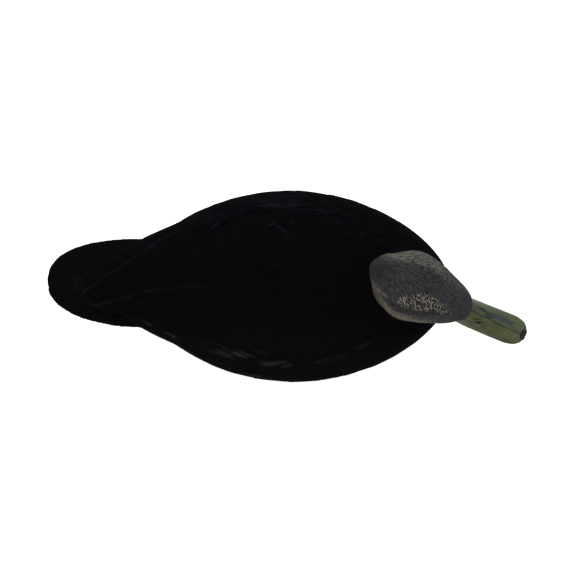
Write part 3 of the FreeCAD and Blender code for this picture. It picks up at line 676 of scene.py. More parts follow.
def fan_form():
    """The tail fan, a flat arched wedge with a rounded end."""
    c, s = circle(180)
    rings = []
    end = TAIL_X + np.array([0.15, 0.4, 0.8, 1.4])
    for x in np.concatenate([end, np.linspace(TAIL_X + 2, FAN_ROOT_X, 110)]):
        half_thick = curve(FAN_THICK, x) / 2
        y = fan_half(x) * signed_power(c, 0.9)
        z = curve(FAN_TOP, x) - half_thick - FAN_ARCH * c * c + half_thick * signed_power(s, 0.9)
        rings.append(section(x, y, z))
    return loft(rings)


def seat_form():
    """The flared round seat that the neck stands on."""
    c, s = circle(144)
    rings = []
    for z in np.linspace(SEAT_FOOT_Z, SEAT_Z, 40):
        side = SEAT_R + curve(SEAT_SIDE, z)
        front = SEAT_R + curve(SEAT_FRONT, z)
        power = np.where(c > 0, 2 / curve(SEAT_FULL, z), 1.0)
        x = NECK_X + np.where(c > 0, front, side) * signed_power(c, power)
        rings.append(section(x, side * signed_power(s, power), z))
    return loft(rings)


def wing_level(x, y):
    """Height of the smooth surface that the folded wings lie on."""
    top = curve(BACK_LINE, x)
    half = np.where(x > HAUNCH_X, half_width(x), curve(WING_HALF, x))
    drop = np.where(x > HAUNCH_X, top - curve(WIDEST_LINE, x), curve(WING_DROP, x))
    out = np.clip(np.abs(y) / half, 0, 0.985)
    return top - drop * (1 - (1 - out ** 2.1) ** 0.476)


def wing_form(inner, outer, lift_line, floor_z, start):
    """A wing's upper layer: a thin plate over the back with a rounded rim."""
    across = 0.5 - 0.5 * np.cos(np.linspace(0, math.pi, 61))
    rings = []
    end = start + np.array([0.1, 0.4, 0.9, 1.6])
    for x in np.concatenate([end, np.linspace(start + 2.5, WING_FRONT_X, 120)]):
        a, b = curve(inner, x), curve(outer, x)
        y = a + (b - a) * across
        rim = np.minimum(np.abs(y - a), np.abs(y - b))
        inward = np.minimum(rim, 1.2 * (x - start)) / WING_RIM
        round_off = 1 - np.clip(1 - inward, 0, 1) ** 2
        lift = curve(lift_line, x) * (0.35 + 0.65 * round_off)
        top = section(x, y, wing_level(x, y) + lift)
        rings.append(np.concatenate([top, section(x, y, floor_z)[::-1]]))
    return loft(rings)


def stroke(co, line, reach, fade=0.25):
    """Signed distance to a line in plan (positive to its left) and how much of it applies."""
    best = np.full(len(co), 1e9)
    signed = np.zeros(len(co))
    along = np.zeros(len(co))
    line = np.asarray(line, float)
    lengths = np.hypot(*np.diff(line, axis=0).T)
    done = 0.0
    for k, length in enumerate(lengths):
        a, b = line[k], line[k + 1]
        d = (b - a) / length
        rel = co[:, :2] - a
        t = np.clip(rel @ d, 0, length)
        gap = rel - t[:, None] * d
        far = np.hypot(gap[:, 0], gap[:, 1])
        near = far < best
        best = np.where(near, far, best)
        side = np.sign(d[0] * rel[:, 1] - d[1] * rel[:, 0])
        signed = np.where(near, side * far, signed)
        along = np.where(near, (done + t) / lengths.sum(), along)
        done += length
    ends = np.minimum(1, np.minimum(along, 1 - along) / fade)
    return signed, ends * (best < reach * 4)


def ledge(co, line, height, reach):
    """Relief of a feather edge: proud on the line's left, falling away over reach."""
    signed, share = stroke(co, line, reach)
    proud = np.where(signed > 0, np.exp(-signed / reach), 0) * ramp(-0.1, 0.9, signed)
    dip = np.where(signed <= 0, np.exp(signed / (reach * 0.7)), 0) * ramp(0.1, -0.9, signed)
    return share * height * (proud - 0.45 * dip)


def shingles(along, across, length, width, lean=0.35):
    """Overlapping rounded feathers, 0 at a feather's root and 1 at its tip."""
    row = np.floor(across / width)
    b = across / width - row - 0.5
    jitter = lattice(row.astype(np.int64), np.zeros(len(row), np.int64), 7, 11) * 0.3
    phase = along / length + 0.5 * (row % 2) + lean * (2 * b) ** 2 + jitter
    return (phase - np.floor(phase)) ** 1.4


def fan_place(co):
    """Angle off the tail's middle (degrees) and distance from where the tail feathers spread."""
    behind, y = FEATHER_CENTRE_X - co[:, 0], co[:, 1]
    return np.degrees(np.arctan2(y, behind)), np.hypot(behind, y)


def fan_feathers(angle):
    """Height of the tail feathers, each lapping over its outer neighbour."""
    wave = np.abs(angle) / FEATHER_PITCH + 0.5
    feather = np.floor(wave)
    across = wave - feather
    shaft = hill(across - 0.5, 0.07)
    uneven = 0.6 + 0.4 * noise(np.stack([feather, np.sign(angle), angle * 0], 1) * 7.3, 1, 5)
    return (0.42 * (1 - across) + 0.14 * shaft) * uneven


def body_relief(co, n):
    """How far each point of the upper body is pushed out to make its feathers."""
    x, y, z = co.T
    up = ramp(0.15, 0.6, n[:, 2])
    off_seat = ramp(34, 60, np.hypot((x - NECK_X) * 1.1, y))
    above_seam = ramp(SEAM_Z + 1, SEAM_Z + 7, z)
    on_fan = ramp(-120, -134, x) * ramp(wing_floor(x, y) + 0.4, wing_floor(x, y) - 0.8, z)
    push = np.zeros(len(co))

    # side pocket: the flank feathers lap over the folded wing's edge
    seam = curve(POCKET_SEAM, x) + 1.3 * np.abs(np.sin(x / 6.3)) + 0.8 * noise(co, (9, 9, 30), 3)
    inside = seam - np.abs(y)
    strength = ramp(-104, -70, x) * ramp(90, 62, x)
    depth = np.where(y > 0, 2.1, 1.7)
    dip = np.where(inside > 0, np.exp(-inside / 13.0), 0) * ramp(-0.3, 1.4, inside)
    push -= strength * depth * dip * up
    push += strength * 0.5 * hill(inside + 1.6, 2.2) * up

    # single lapped feather edges
    for line, height, reach, _ in FEATHER_EDGES:
        push += ledge(co, line, height, reach) * up

    # flank: long lapped feathers running back along the side
    flank = ramp(2, -6, inside) * ramp(-128, -95, x) * ramp(118, 70, x) * above_seam
    down = (124 - z) * 0.9 + (HALF_WIDTH - np.abs(y)) * 0.5
    wander = 5 * noise(co, 30, 5)
    plumes = shingles(-x * 0.97 + wander * 0.6, down + 0.10 * x + wander, 31, 9.5)
    push += 0.62 * (plumes - 0.4) * flank
    combed = noise(np.stack([x + wander, down + 0.10 * x, z * 0], 1), (17, 2.3, 9), 8)
    push += 0.20 * combed * flank

    # back: faint soft feathers
    on_back = ramp(-2, 10, inside) * (1 - on_fan) * off_seat * ramp(-176, -150, x)
    drift = 4 * noise(co, 26, 12)
    soft = shingles(-x + drift, np.abs(y) * 1.05 + drift * 0.7, 27, 15, 0.3)
    push += 0.20 * (soft - 0.4) * on_back
    push += 0.12 * noise(co, (11, 4.5, 9), 17) * on_back

    # tail feathers
    angle, reach = fan_place(co)
    push += (fan_feathers(angle) - 0.25) * on_fan * ramp(0.1, 0.5, n[:, 2])
    barbs = noise(np.stack([reach, angle * 1.9, z * 0], 1), (9, 1.5, 5), 23)
    push += 0.14 * barbs * on_fan

    # slow unevenness of a hollow moulding
    push += 0.55 * noise(co, (46, 40, 40), 31) * off_seat * above_seam
    push += 0.22 * noise(co, (15, 13, 13), 37) * off_seat * above_seam

    # the mould line round the widest part
    push -= 0.45 * hill(z - SEAM_Z, 0.9)
    return push


def body_wear_and_highlights(mesh, co, pairs):
    """Where the flock is painted paler: proud edges, feather edges, wing rims, the left flank and the
    wing tips; partly rubbed wear, partly painted highlight.
    """
    x, y, z = co.T
    # proud edges painted paler: rubbed wear and painted highlight
    wear_and_highlight = 0.55 * ramp(0.06, 0.20, convexity(mesh, pairs))
    comb = 0.5 + 0.5 * noise(co, (7, 0.8, 5), 43)
    patchy = 0.5 + 0.5 * noise(co, 8, 45)
    on_top = ramp(84, 90, z)
    for line, _, _, share in FEATHER_EDGES:
        signed, applies = stroke(co, line, 3, 0.3)
        edge = applies * on_top * hill(signed - 0.5, 0.95)
        wear_and_highlight = np.maximum(wear_and_highlight, share * edge * (0.25 + comb))
    for line, share in WING_RIMS:
        signed, applies = stroke(co, line, 3, 0.04)
        proud = ramp(103, 106, z) * applies * hill(signed, 0.8)
        wear_and_highlight = np.maximum(wear_and_highlight, share * curve(RIM_WEAR_AND_HIGHLIGHT, x) * proud * (0.45 + 0.75 * patchy))
    # the left flank painted paler along a line: rubbed wear and painted highlight
    flank_rub_and_highlight = hill(y - curve(FLANK_RUB_AND_HIGHLIGHT_LINE, x), 7) * ramp(-95, -70, x) * ramp(95, 60, x) * on_top
    wear_and_highlight = np.maximum(wear_and_highlight, 0.32 * flank_rub_and_highlight * ramp(0.45, 0.95, comb) * (0.4 + patchy))
    # the wing tips painted paler: rubbed wear and painted highlight
    tips = hill(np.hypot((x + 184) / 5, (y + 1.5) / 4), 1.0)
    wear_and_highlight = np.maximum(wear_and_highlight, 0.30 * tips * (0.5 + comb))
    near_neck = ramp(46, 34, np.hypot(x - NECK_X, y))
    return wear_and_highlight * (1 - 0.95 * near_neck)


def wing_floor(x, y):
    """Height midway between the fan's top and the wings lying on it."""
    return curve(FAN_TOP, x) - FAN_ARCH * np.clip(np.abs(y) / 40, 0, 1) ** 2 + 1.6


def cut_flat(mesh, level):
    """Removes everything under a level and closes the cut."""
    work = bmesh.new()
    work.from_mesh(mesh)
    cut = bmesh.ops.bisect_plane(
        work, geom=work.verts[:] + work.edges[:] + work.faces[:], dist=1e-4,
        plane_co=(0, 0, level), plane_no=(0, 0, -1), clear_outer=True,
    )
    rim = [e for e in cut["geom_cut"] if isinstance(e, bmesh.types.BMEdge)]
    bmesh.ops.holes_fill(work, edges=rim, sides=0)
    work.to_mesh(mesh)
    work.free()


def build_back():
    """The upper body in one flocked mesh, with the wear and painted highlights, the painted light and
    its tint stored for its finish.
    """
    solids = [
        body_form(), fan_form(), seat_form(),
        wing_form(RIGHT_OUTER, RIGHT_INNER, RIGHT_LIFT, 98.5, -183.0),
        wing_form(LEFT_INNER, LEFT_OUTER, LEFT_LIFT, 99.0, -183.2),
    ]
    mesh = fused("back_flocked", solids, BODY_VOXEL)
    pairs = edge_pairs(mesh)
    co = relaxed(places(mesh), pairs, 2, 0.4)
    set_places(mesh, co)
    n = normals(mesh)
    co += n * body_relief(co, n)[:, None]

    # feather tips round the end of the fan
    angle, _ = fan_place(co)
    notch = np.abs(((np.abs(angle) / FEATHER_PITCH + 0.5) % 1.0) - 0.5) * 2
    low_tail = ramp(-150, -200, co[:, 0]) * ramp(70, 40, np.abs(angle))
    ragged = 0.5 + 0.5 * noise(co, (60, 5, 60), 47)
    co[:, 0] += 0.9 * ragged * notch ** 2 * low_tail
    set_places(mesh, co)

    store(mesh, "rub", body_wear_and_highlights(mesh, co, pairs))
    x, y, z = co.T
    # painted light: lightens the right wing, the upper breast and the tail fan under the wing tips,
    # offsetting their shade; stored as fade
    right_wing_painted_light = ramp(-25, -52, y) * ramp(SEAM_Z + 2, SEAM_Z + 16, z)
    breast_painted_light = ramp(75, 110, x) * ramp(SEAM_Z + 2, SEAM_Z + 16, z)
    tail = 0.45 * ramp(-118, -135, x) * ramp(wing_floor(x, y) + 0.6, wing_floor(x, y) - 0.6, z)
    store(mesh, "fade", np.maximum(np.maximum(0.5 * right_wing_painted_light, 0.2 * breast_painted_light), tail))
    # painted light tint for the pale edges: warmer on the right (-y) side, bluish on the left, standing
    # for light of a different colour on each side
    store(mesh, "warm", ramp(10, -30, y))
    cut_flat(mesh, SEAM_Z)
    mesh.transform(Matrix.Scale(MM, 4))
    piece("back_flocked", mesh, FLOCK, "body", "back_shell")


# ==== the painted head ====
def head_form():
    """The head and neck without the bill, standing on the neck's foot."""
    c, s = circle(160)
    rings = []
    crown = HEAD_H - (HEAD_H - 60) * np.linspace(0.97, 0.0, 40) ** 2
    for h in np.minimum(np.concatenate([np.linspace(0, 60, 90), crown]), HEAD_H - 0.02):
        centre = curve(HEAD_CENTRE, h)
        dome = math.sqrt(max(0.0, 1 - max(0.0, (h - DOME_H) / (HEAD_H - DOME_H)) ** 2.4))
        face, nape = curve(HEAD_FACE, h), curve(HEAD_NAPE, h)
        reach = np.where(c > 0, face - centre, centre - nape) * dome
        full = np.where(c > 0, curve(FACE_FULL, h), curve(NAPE_FULL, h))
        u = centre + reach * signed_power(c, 2 / full)
        v = curve(HEAD_CHEEK, h) * dome * signed_power(s, 2 / full)
        rings.append(section(u, v, h))
    return loft(rings)


def bill_form():
    """The bill, from inside the face to its rounded tip."""
    c, s = circle(160)
    rings = []
    for u in np.concatenate([np.linspace(BILL_ROOT, 104, 90), np.linspace(104.5, BILL_TIP - 0.05, 24)]):
        edge = curve(BILL_EDGE, u)
        above = curve(BILL_RIDGE, u) - edge
        below = edge - curve(BILL_UNDER, u)
        peak = curve(BILL_PEAK, u)
        h = edge + np.where(s > 0, above * np.abs(s) ** peak, -below * np.abs(s) ** 0.8)
        v = curve(BILL_HALF, u) * signed_power(c, 0.9) * np.where(s < 0, 0.93, 1.0)
        v = v + curve(BILL_AXIS, u)
        rings.append(section(u, v, h))
    return loft(rings)


def bill_border(u, v, h):
    """Distance forward of the feather border, negative on the feathers."""
    round_bill = np.degrees(np.arctan2(h - 39, np.abs(v)))
    return u - curve(FACE_BORDER, round_bill)


def lids(u, h):
    """Distance from the eye's centre, measured so that the lids form an almond."""
    du, dh = u - EYE_U, h - EYE_H
    a = du * math.cos(LID_TILT) + dh * math.sin(LID_TILT)
    b = dh * math.cos(LID_TILT) - du * math.sin(LID_TILT)
    return np.hypot(a / 1.22, b / 0.98)


def bill_relief(co, n, on_bill, side):
    """Gape, lamellae along the lip, nostrils, ridge and nail."""
    u, v, h = co.T
    push = np.zeros(len(co))
    across = v - curve(BILL_AXIS, u)
    lip = h - curve(GAPE_LINE, u)
    gape = ramp(48, 54, u) * ramp(111, 106, u)
    push -= 0.75 * hill(lip, 0.6) * gape * side
    push += 0.30 * hill(lip - 1.5, 1.1) * gape * side * on_bill
    teeth = np.maximum(0, np.sin(u * 2 * math.pi / 1.7))
    push -= 0.10 * teeth * hill(lip - 0.6, 0.8) * ramp(66, 72, u) * ramp(104, 98, u) * side
    pit = nostril_pit(u, across)
    push -= 0.95 * ramp(1.05, 0.55, pit) * ramp(38, 41, h)
    push += 0.12 * hill(pit - 1.35, 0.35) * ramp(38, 41, h)
    on_top = ramp(0.2, 0.6, n[:, 2]) * on_bill
    long_ridge = ramp(61, 65, u) * ramp(107, 103, u) * on_top
    push -= 0.22 * hill(across, 0.55) * long_ridge
    push += 0.25 * hill(np.abs(across) - 1.7, 1.1) * long_ridge * ramp(104, 92, u)
    nail = nail_shape(u, across)
    push += 0.40 * ramp(1.02, 0.80, nail) * ramp(104, 106, u)
    push -= 0.30 * hill(nail - 1.08, 0.10) * ramp(103, 105, u) * ramp(0, 0.3, n[:, 2])
    return push + 0.16 * noise(co, (9, 2.6, 4), 41) * on_bill


def face_relief(co, ring, on_bill, side, off_foot):
    """A shallow hollow with almond lids round each eye, a brow over it and a full cheek."""
    u, v, h = co.T
    push = np.zeros(len(co))
    near_eye = ramp(12, 15, np.abs(v)) * (ring < 12)
    hollow = np.hypot((u - EYE_U - 1.5) / 1.25, h - EYE_H)
    push -= 1.9 * ramp(9.0, 3.5, hollow) * ramp(12, 15, np.abs(v))
    push -= 1.4 * ramp(4.5, 3.8, ring) * near_eye
    push += 0.70 * hill(ring - 5.0, 0.75) * near_eye
    push += 1.1 * hill(ring - 6.2, 1.6) * near_eye * ramp(0.5, 4.0, h - EYE_H)
    push -= 0.25 * hill(ring - 6.8, 0.8) * near_eye
    push += 0.55 * hill(h - curve(BROW_LINE, u), 3.0) * ramp(4, 16, u) * ramp(54, 44, u) * side
    push += 1.7 * hill(np.hypot((u - 1) / 1.15, h - 37), 12) * side
    push -= 1.3 * hill(np.hypot(u + 18, v - 20), 7) * off_foot
    push -= 0.6 * hill(np.hypot((u - 46) / 1.6, h - 41), 5) * side
    return push + 1.1 * hill(np.hypot(u - 50, (v - 12) / 0.8), 7) * (1 - on_bill)


def head_relief(co, n):
    """How far each point of the head is pushed out, in millimetres."""
    u, v, h = co.T
    border = bill_border(u, v, h)
    on_bill = ramp(-0.3, 0.5, border)
    side = ramp(0.35, 0.8, np.abs(n[:, 1]))
    off_foot = ramp(0.5, 5, h)
    ring = lids(u, h)
    push = bill_relief(co, n, on_bill, side) + face_relief(co, ring, on_bill, side, off_foot)

    # feathers end in a soft step at the bill
    push += np.where(border < 0, 0.45 * np.exp(border / 6), 0) * ramp(0.2, -1.2, border)
    push -= np.where(border >= 0, 0.35 * np.exp(-border / 3.5), 0)

    # feathers: fine grooves that lean with the streaks of paint, and shallow lumps
    lean_right, lean_left, lean_side = streak_leans(co, n)
    cells = (4.6, 1.15, 1.5)
    grooves = noise(turned(co, STREAK_TURNS[0]), cells, 51)
    grooves += lean_right * (noise(turned(co, STREAK_TURNS[1]), cells, 52) - grooves)
    grooves += lean_left * (noise(turned(co, STREAK_TURNS[2]), cells, 53) - grooves)
    flank = noise(turned(co, SIDE_STREAK_TURN, (0, 2)), (4.4, 1.5, 1.15), 54)
    grooves += lean_side * (flank - grooves)
    calm = 1 - 0.55 * ramp(28, 44, u)
    push += 0.15 * grooves * (1 - on_bill) * off_foot * calm * ramp(4.5, 7, ring)
    push += 0.28 * noise(co, (13, 11, 12), 57) * (1 - on_bill) * off_foot
    return push


def nostril_pit(u, across):
    """1 on the rim of either nostril, less inside it."""
    slant = 0.14 * (u - NOSTRIL_U)
    return np.hypot((u - NOSTRIL_U) / 3.1, (np.abs(across) - NOSTRIL_V + slant) / 1.1)


def nail_shape(u, across):
    """1 on the border of the nail at the bill's tip, less inside it."""
    power = 2.6
    return ((np.abs(u - NAIL_U) / 3.7) ** power + (np.abs(across) / 4.7) ** power) ** (1 / power)


def streak_leans(co, n):
    """How much the feather streaks lean to each side on the crown, or run back along the side."""
    u, v, _ = co.T
    lean_side = ramp(0.72, 0.30, n[:, 2])
    parting = curve(PARTING, u)
    lean_right = ramp(0.5, -4.5, v - parting)
    lean_left = ramp(0.5, 5.5, v - parting)
    return lean_right, lean_left, lean_side


def band(co, line, width, soft):
    """1 on a line in plan, falling to 0 beyond its width."""
    signed, _ = stroke(co, line, 99, 0.01)
    return ramp(width + soft, width - soft * 0.3, np.abs(signed))


def over(base, colour, share):
    """Paints a colour over others where share is 1."""
    share = np.asarray(share)[:, None]
    return base * (1 - share) + linear(colour)[None, :] * share


def layered(base, *coats):
    """Paints (colour, share) coats over a base one after another."""
    for colour, share in coats:
        base = over(base, colour, share)
    return base


def coat(paint, dark, light, share, light_share=None):
    """Lays a dark and a light colour over the dark and light paint where share is 1."""
    low, high = paint
    return over(low, dark, share), over(high, light, share if light_share is None else light_share)


def head_paint(co, n):
    """What the finish reads at each point: two paints, how much is light, and how soft."""
    u, v, h = co.T
    right = ramp(2, -3, v)
    side = ramp(0.50, 0.18, n[:, 2])
    top = 1 - side
    ones = np.ones(len(co))
    paint = ones[:, None] * linear((38, 37, 39)), ones[:, None] * linear((59, 58, 61))
    paint = coat(paint, (44, 43, 46), (63, 62, 65), ramp(20, 34, u), ramp(22, 34, u))
    forehead = ramp(42, 52, u)
    paint = coat(paint, (48, 48, 50), (58, 58, 60), forehead)

    # left of the crown: long pale streaks, quieter towards the bill
    pale = ramp(-4.5, 2.5, v - curve(PALE_EDGE, u)) * ramp(-32, -22, u)
    near_bill = ramp(20, 36, u)
    paint = coat(paint, (52, 52, 49), (101, 101, 94), pale * (1 - near_bill))
    paint = coat(paint, (45, 45, 45), (80, 80, 76), pale * near_bill)

    # right: a broken bright band over the eye, warm with bluish flecks
    off_line = np.abs(v - curve(BRIGHT_LINE, u))
    half = curve(BRIGHT_HALF, u)
    bright = ramp(half + 1.6, half - 2.2, off_line) * top * ramp(-3, 4, u) * ramp(48, 39, u)
    flecks = bright * ramp(-1.55, -0.25, noise(co, 6, 62))
    warm = flecks * (1 - 0.6 * ramp(32, 42, u))
    bluish = flecks * ramp(-14, -7, v) * ramp(-0.5, 0.3, noise(co, (5, 4, 5), 63))
    paint = coat(paint, (41, 41, 43), (138, 131, 115), bright, warm)
    paint = paint[0], over(paint[1], (130, 136, 140), 0.85 * bluish)
    paint = right_edge_paint(paint, co, n, (1 - bright) * top * (1 - forehead))
    tan = side * right * ramp(-32, -16, u)
    tan_coat = tan * (1 - 0.5 * ramp(-6, -18, u))
    paint = coat(paint, (64, 60, 54), (118, 109, 97), tan_coat)
    paint = coat(paint, (52, 51, 47), (97, 95, 87), side * ramp(-24, -10, u) * (1 - right))
    low, high = cheek_paint(paint, co, n, side)

    olive = bill_paint(co, n)
    border = bill_border(u, v, h) + 0.30 * noise(co, (2.2, 0.9, 1.2), 61)
    on_bill = ramp(-0.18, 0.18, border)
    share = on_bill[:, None]
    cover = 0.48 - bright * (0.14 + 0.06 * ramp(8, 18, u)) + 0.10 * tan
    soft = 0.065 * (1 - 0.45 * bright)
    return {
        "paint_low": low * (1 - share) + olive * 0.93 * share,
        "paint_high": high * (1 - share) + olive * 1.07 * share,
        "cover": cover * (1 - on_bill) + 0.5 * on_bill,
        "soft": soft * (1 - on_bill) + 0.14 * on_bill,
        "feathers": 1 - on_bill,
    }


def right_edge_paint(paint, co, n, plain):
    """A dark line outside the bright band, the tan rim of the cheek, and a buff nape line."""
    u, v, _ = co.T
    stripe = band(co, DARK_LINE, 0.9, 2.2) * ramp(0.12, 0.35, n[:, 2])
    paint = coat(paint, (37, 37, 37), (58, 57, 55), stripe)
    outer = ramp(1.2, 3.4, -v - curve(CHEEK_RIM, u)) * ramp(-30, -20, u)
    front = ramp(12, 26, u)
    paint = coat(paint, (59, 55, 50), (101, 94, 84), outer * (1 - front))
    paint = coat(paint, (49, 48, 46), (75, 73, 68), outer * front)
    fore_right = ramp(24, 34, u) * ramp(-2, -8, v) * plain
    paint = coat(paint, (48, 47, 47), (76, 75, 73), 0.8 * fore_right)
    buff = band(co, BUFF_LINE, 0.8, 1.7) * ramp(-0.6, 0.1, noise(co, (4, 3, 4), 65))
    return coat(paint, (58, 55, 50), (106, 98, 86), 0.85 * buff)


def cheek_paint(paint, co, n, side):
    """A dark line through each eye, a pale throat, a dull foot, a dark nape and dark lids."""
    u, v, h = co.T
    eye_line = hill(h - curve(EYE_LINE, u), 3.4) * ramp(0.75, 0.45, n[:, 2]) * ramp(-26, -6, u)
    paint = coat(paint, (30, 30, 30), (54, 52, 49), 0.85 * eye_line, 0.75 * eye_line)
    throat = side * ramp(38, 26, h) * ramp(4, 18, u)
    paint = coat(paint, (74, 68, 58), (130, 120, 102), 0.6 * throat)
    foot = ramp(16, 3, h)
    paint = coat(paint, (42, 40, 37), (80, 75, 67), 0.75 * foot, 0.7 * foot)
    nape = ramp(-8, -24, u) * ramp(14, 6, np.abs(v - 3))
    paint = coat(paint, (32, 31, 33), (46, 45, 47), 0.85 * nape)
    lid = ramp(6.4, 5.2, lids(u, h)) * ramp(12, 15, np.abs(v))
    return coat(paint, (24, 23, 23), (40, 38, 36), lid)


def bill_paint(co, n):
    """Washed olive with smoky brush strokes, dark nostrils, ridge line, lip and nail."""
    u, v, h = co.T
    across = v - curve(BILL_AXIS, u)
    left = ramp(-0.6, 0.8, across)
    right = 1 - left
    edge = ramp(7.5, 10.5, np.abs(across))
    mottle = noise(co, (7, 2.2, 5), 66) + 0.6 * noise(co, (2.6, 1.4, 2), 68)
    olive = layered(
        np.ones(len(co))[:, None] * linear((76, 81, 52)),
        ((72, 80, 62), left),
        ((80, 89, 67), left * ramp(66, 80, u)),
        ((84, 89, 61), right * ramp(86, 98, u)),
        ((86, 93, 66), 0.8 * edge * left),
        ((69, 74, 43), 0.8 * edge * right),
        ((58, 63, 44), 0.35 * ramp(0.1, 0.9, mottle)),
        ((92, 98, 70), 0.35 * ramp(-0.1, -0.9, mottle)),
    )

    wisp = 0.35 * noise(co, (4, 1.2, 3), 67)
    smoke = band(co, SMOKE_LINE, 1.5 + wisp, 1.8) * ramp(102, 94, u)
    olive = over(olive, (58, 65, 64), 0.92 * smoke)
    olive = over(olive, (56, 64, 54), 0.55 * band(co, SMOKE_RIM, 0.2, 0.8))
    upwards = ramp(0, 0.3, n[:, 2])
    for line, width, colour, share in BILL_STROKES:
        olive = over(olive, colour, share * band(co, line, width + 0.5 * wisp, 0.55) * upwards)

    pit = nostril_pit(u, across)
    dark = ramp(1.15, 0.7, pit) * ramp(38, 41, h)
    freckles = ramp(0.58, 0.74, noise(co, (1.7, 1.1, 1.5), 71)) * ramp(-3, -6, across)
    lip = hill(h - curve(GAPE_LINE, u), 0.7) * ramp(48, 56, u) * ramp(0.4, 0.8, np.abs(n[:, 1]))
    nail = nail_shape(u, across) + 0.06 * noise(co, 1.5, 73)
    fleck = ramp(0.3, 0.7, noise(co, (2.2, 0.8, 1.5), 74)) * ramp(1.0, 0.8, nail)
    at_tip = ramp(104, 105.5, u)
    return layered(
        olive,
        ((22, 26, 19), dark * right),
        ((48, 52, 48), 0.8 * dark * left),
        ((44, 48, 32), 0.7 * freckles * ramp(64, 68, u) * ramp(84, 78, u)),
        ((60, 60, 42), 0.6 * ramp(0.4, -0.6, h - curve(GAPE_LINE, u))),
        ((28, 30, 22), 0.7 * lip),
        ((26, 27, 29), ramp(1.06, 0.94, nail) * at_tip),
        ((48, 49, 51), 0.6 * fleck * at_tip),
    )


def build_head():
    """The head, neck and bill in one mesh, with the paint stored for its finish."""
    mesh = fused("head_painted", [head_form(), bill_form()], HEAD_VOXEL)
    pairs = edge_pairs(mesh)
    co = relaxed(places(mesh), pairs, 2, 0.4)
    co[:, 1] += NAPE_SWING * ramp(-8, -26, co[:, 0]) * ramp(8, 22, co[:, 2])
    set_places(mesh, co)
    n = normals(mesh)
    shape = co.copy()
    co += n * head_relief(co, n)[:, None]
    co[:, 2] = np.maximum(co[:, 2], 0.0)
    set_places(mesh, co)
    marks = head_paint(shape, n)
    marks["head_place"] = shape
    marks.update(zip(("lean_right", "lean_left", "lean_side"), streak_leans(shape, n)))
    for name, values in marks.items():
        store(mesh, name, values)
    turn = Matrix.Translation((NECK_X, 0, HEAD_Z)) @ Matrix.Rotation(HEAD_TURN, 4, "Z")
    mesh.transform(Matrix.Scale(MM, 4) @ turn)
    piece("head_painted", mesh, HEAD_PAINT, "head", "head_shell")


# ==== CAD nodes that keep their shape ====
def finish_nodes():
    """Finishes for the hull, the keel and the hardware, with softened edges."""
    nylon = plastic_finish("nylon", (0.62, 0.60, 0.54), (0.74, 0.72, 0.66), 0.5, 0.45)
    grey = plastic_finish("grey_plastic", (0.12, 0.12, 0.12), (0.22, 0.22, 0.22), 0.6, 0.5)
    black = plastic_finish("black_plastic", (0.010, 0.010, 0.011), (0.035, 0.035, 0.036), 0.6, 0.5)
    keel = plastic_finish("keel_plastic", (0.012, 0.014, 0.012), (0.045, 0.046, 0.040), 0.7, 0.55)
    seal = rubber_finish("seal_rubber", (0.012, 0.012, 0.012), (0.045, 0.043, 0.040))
    plug = rubber_finish("plug_rubber", (0.016, 0.016, 0.017), (0.06, 0.057, 0.052))
    steel = metal_finish(
        "steel", (0.56, 0.56, 0.55), (0.28, 0.25, 0.21), (0.004, 0.0003, 0.0003), 0.30, 0.5)
    brass = metal_finish("brass", (0.60, 0.42, 0.17), (0.22, 0.13, 0.06), 0.0006, 0.38, 0.8)
    iron = metal_finish("ballast_iron", (0.20, 0.19, 0.18), (0.10, 0.05, 0.03), 0.0008, 0.55, 1.0)
    # the material of each node, and how far its edges are softened in millimetres
    finishes = {
        "hull_shell": (FLOCK, 0.0),
        "neck_sleeve": (grey, 0.2),
        "neck_bearing_washer": (nylon, 0.1),
        "neck_seal": (seal, 0.0),
        "neck_plug": (black, 0.2),
        "neck_bolt": (steel, 0.15),
        "rubber_washer": (seal, 0.25),
        "steel_washer": (steel, 0.12),
        "spring_washer": (steel, 0.1),
        "wing_nut": (brass, 0.25),
        "keel": (keel, 0.35),
        "keel_gasket": (seal, 0.15),
        "keel_screws": (steel, 0.15),
        "ballast_bar": (iron, 0.3),
        "ballast_plug": (black, 0.2),
        "line_ring": (steel, 0.0),
        "drain_plug": (plug, 0.25),
        "drain_plug_seal": (seal, 0.0),
        "eye_left": (eye_finish(1), 0.0),
        "eye_right": (eye_finish(-1), 0.0),
    }
    for name, (material, edge_mm) in finishes.items():
        thing = frame["nodes"][name]
        thing.data.materials.clear()
        thing.data.materials.append(material)
        if edge_mm:
            bevel = thing.modifiers.new("soft_edges", "BEVEL")
            bevel.width = edge_mm * MM
            bevel.segments = 2
            bevel.limit_method = "ANGLE"
            bevel.angle_limit = math.radians(40)
            bevel.harden_normals = True


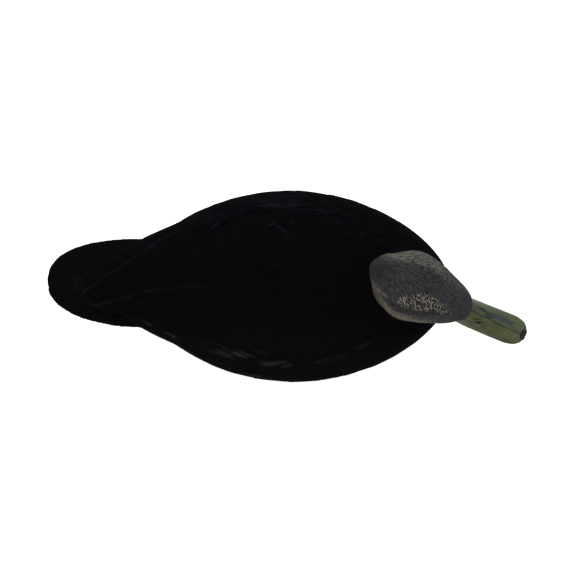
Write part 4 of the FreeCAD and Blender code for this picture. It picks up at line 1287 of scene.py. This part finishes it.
# ==== studio ====
def studio():
    """A pale floor, an even soft dome of light and one large soft lamp."""
    scene = bpy.context.scene
    scene.view_settings.view_transform = "Standard"
    world = bpy.data.worlds.new("dome")
    scene.world = world
    world.use_nodes = True
    back = world.node_tree.nodes["Background"]
    back.inputs["Color"].default_value = (1.0, 1.0, 1.0, 1.0)
    back.inputs["Strength"].default_value = 0.85

    lamp = bpy.data.lights.new("soft_lamp", "AREA")
    lamp.shape = "DISK"
    lamp.size = 1.6
    lamp.energy = 34.0
    holder = bpy.data.objects.new("soft_lamp", lamp)
    scene.collection.objects.link(holder)
    holder.location = (-0.5, 0.9, 2.2)
    holder.rotation_mode = "QUATERNION"
    holder.rotation_quaternion = (-Vector(holder.location)).to_track_quat("-Z", "Y")

    f = Finish("pale_floor")
    tooth = f.grain(f.stretched(f.place(), 0.004), 3, 0.6)
    f.surface(
        Base_Color=f.blend(tooth, (0.80, 0.80, 0.80), (0.84, 0.84, 0.84)),
        Roughness=0.9, Specular_IOR_Level=0.1, Emission_Color=(1.0, 1.0, 1.0, 1.0),
        Emission_Strength=0.62,
    )
    half = 30.0
    floor_z = CAD_BOX[0].z - 0.0005
    mesh = bpy.data.meshes.new("floor")
    mesh.from_pydata(
        [(-half, -half, floor_z), (half, -half, floor_z), (half, half, floor_z),
         (-half, half, floor_z)], [], [(0, 1, 2, 3)])
    mesh.materials.append(f.material)
    floor = bpy.data.objects.new("floor", mesh)
    scene.collection.objects.link(floor)


def camera():
    """Looks down on the decoy from almost straight above."""
    elevation = math.radians(86.8)
    roll = math.radians(-1.0)
    distance = 1.6
    target = Vector((-0.0016, 0.0, 0.080))
    back = Vector((0.0, -math.cos(elevation), math.sin(elevation)))
    right = Vector((1.0, 0.0, 0.0))
    up = back.cross(right)
    view_right = right * math.cos(roll) - up * math.sin(roll)
    view_up = right * math.sin(roll) + up * math.cos(roll)
    lens = bpy.data.cameras.new("camera")
    lens.sensor_width = 36.0
    lens.lens = 113.3
    lens.clip_start, lens.clip_end = 0.05, 60.0
    holder = bpy.data.objects.new("camera", lens)
    bpy.context.scene.collection.objects.link(holder)
    turn = Matrix((view_right, view_up, back)).transposed().to_4x4()
    holder.matrix_world = Matrix.Translation(target + back * distance) @ turn
    bpy.context.scene.camera = holder


FLOCK = flock_finish()
HEAD_PAINT = head_finish()
build_back()
build_head()
finish_nodes()
studio()
camera()

bpy.context.view_layer.update()
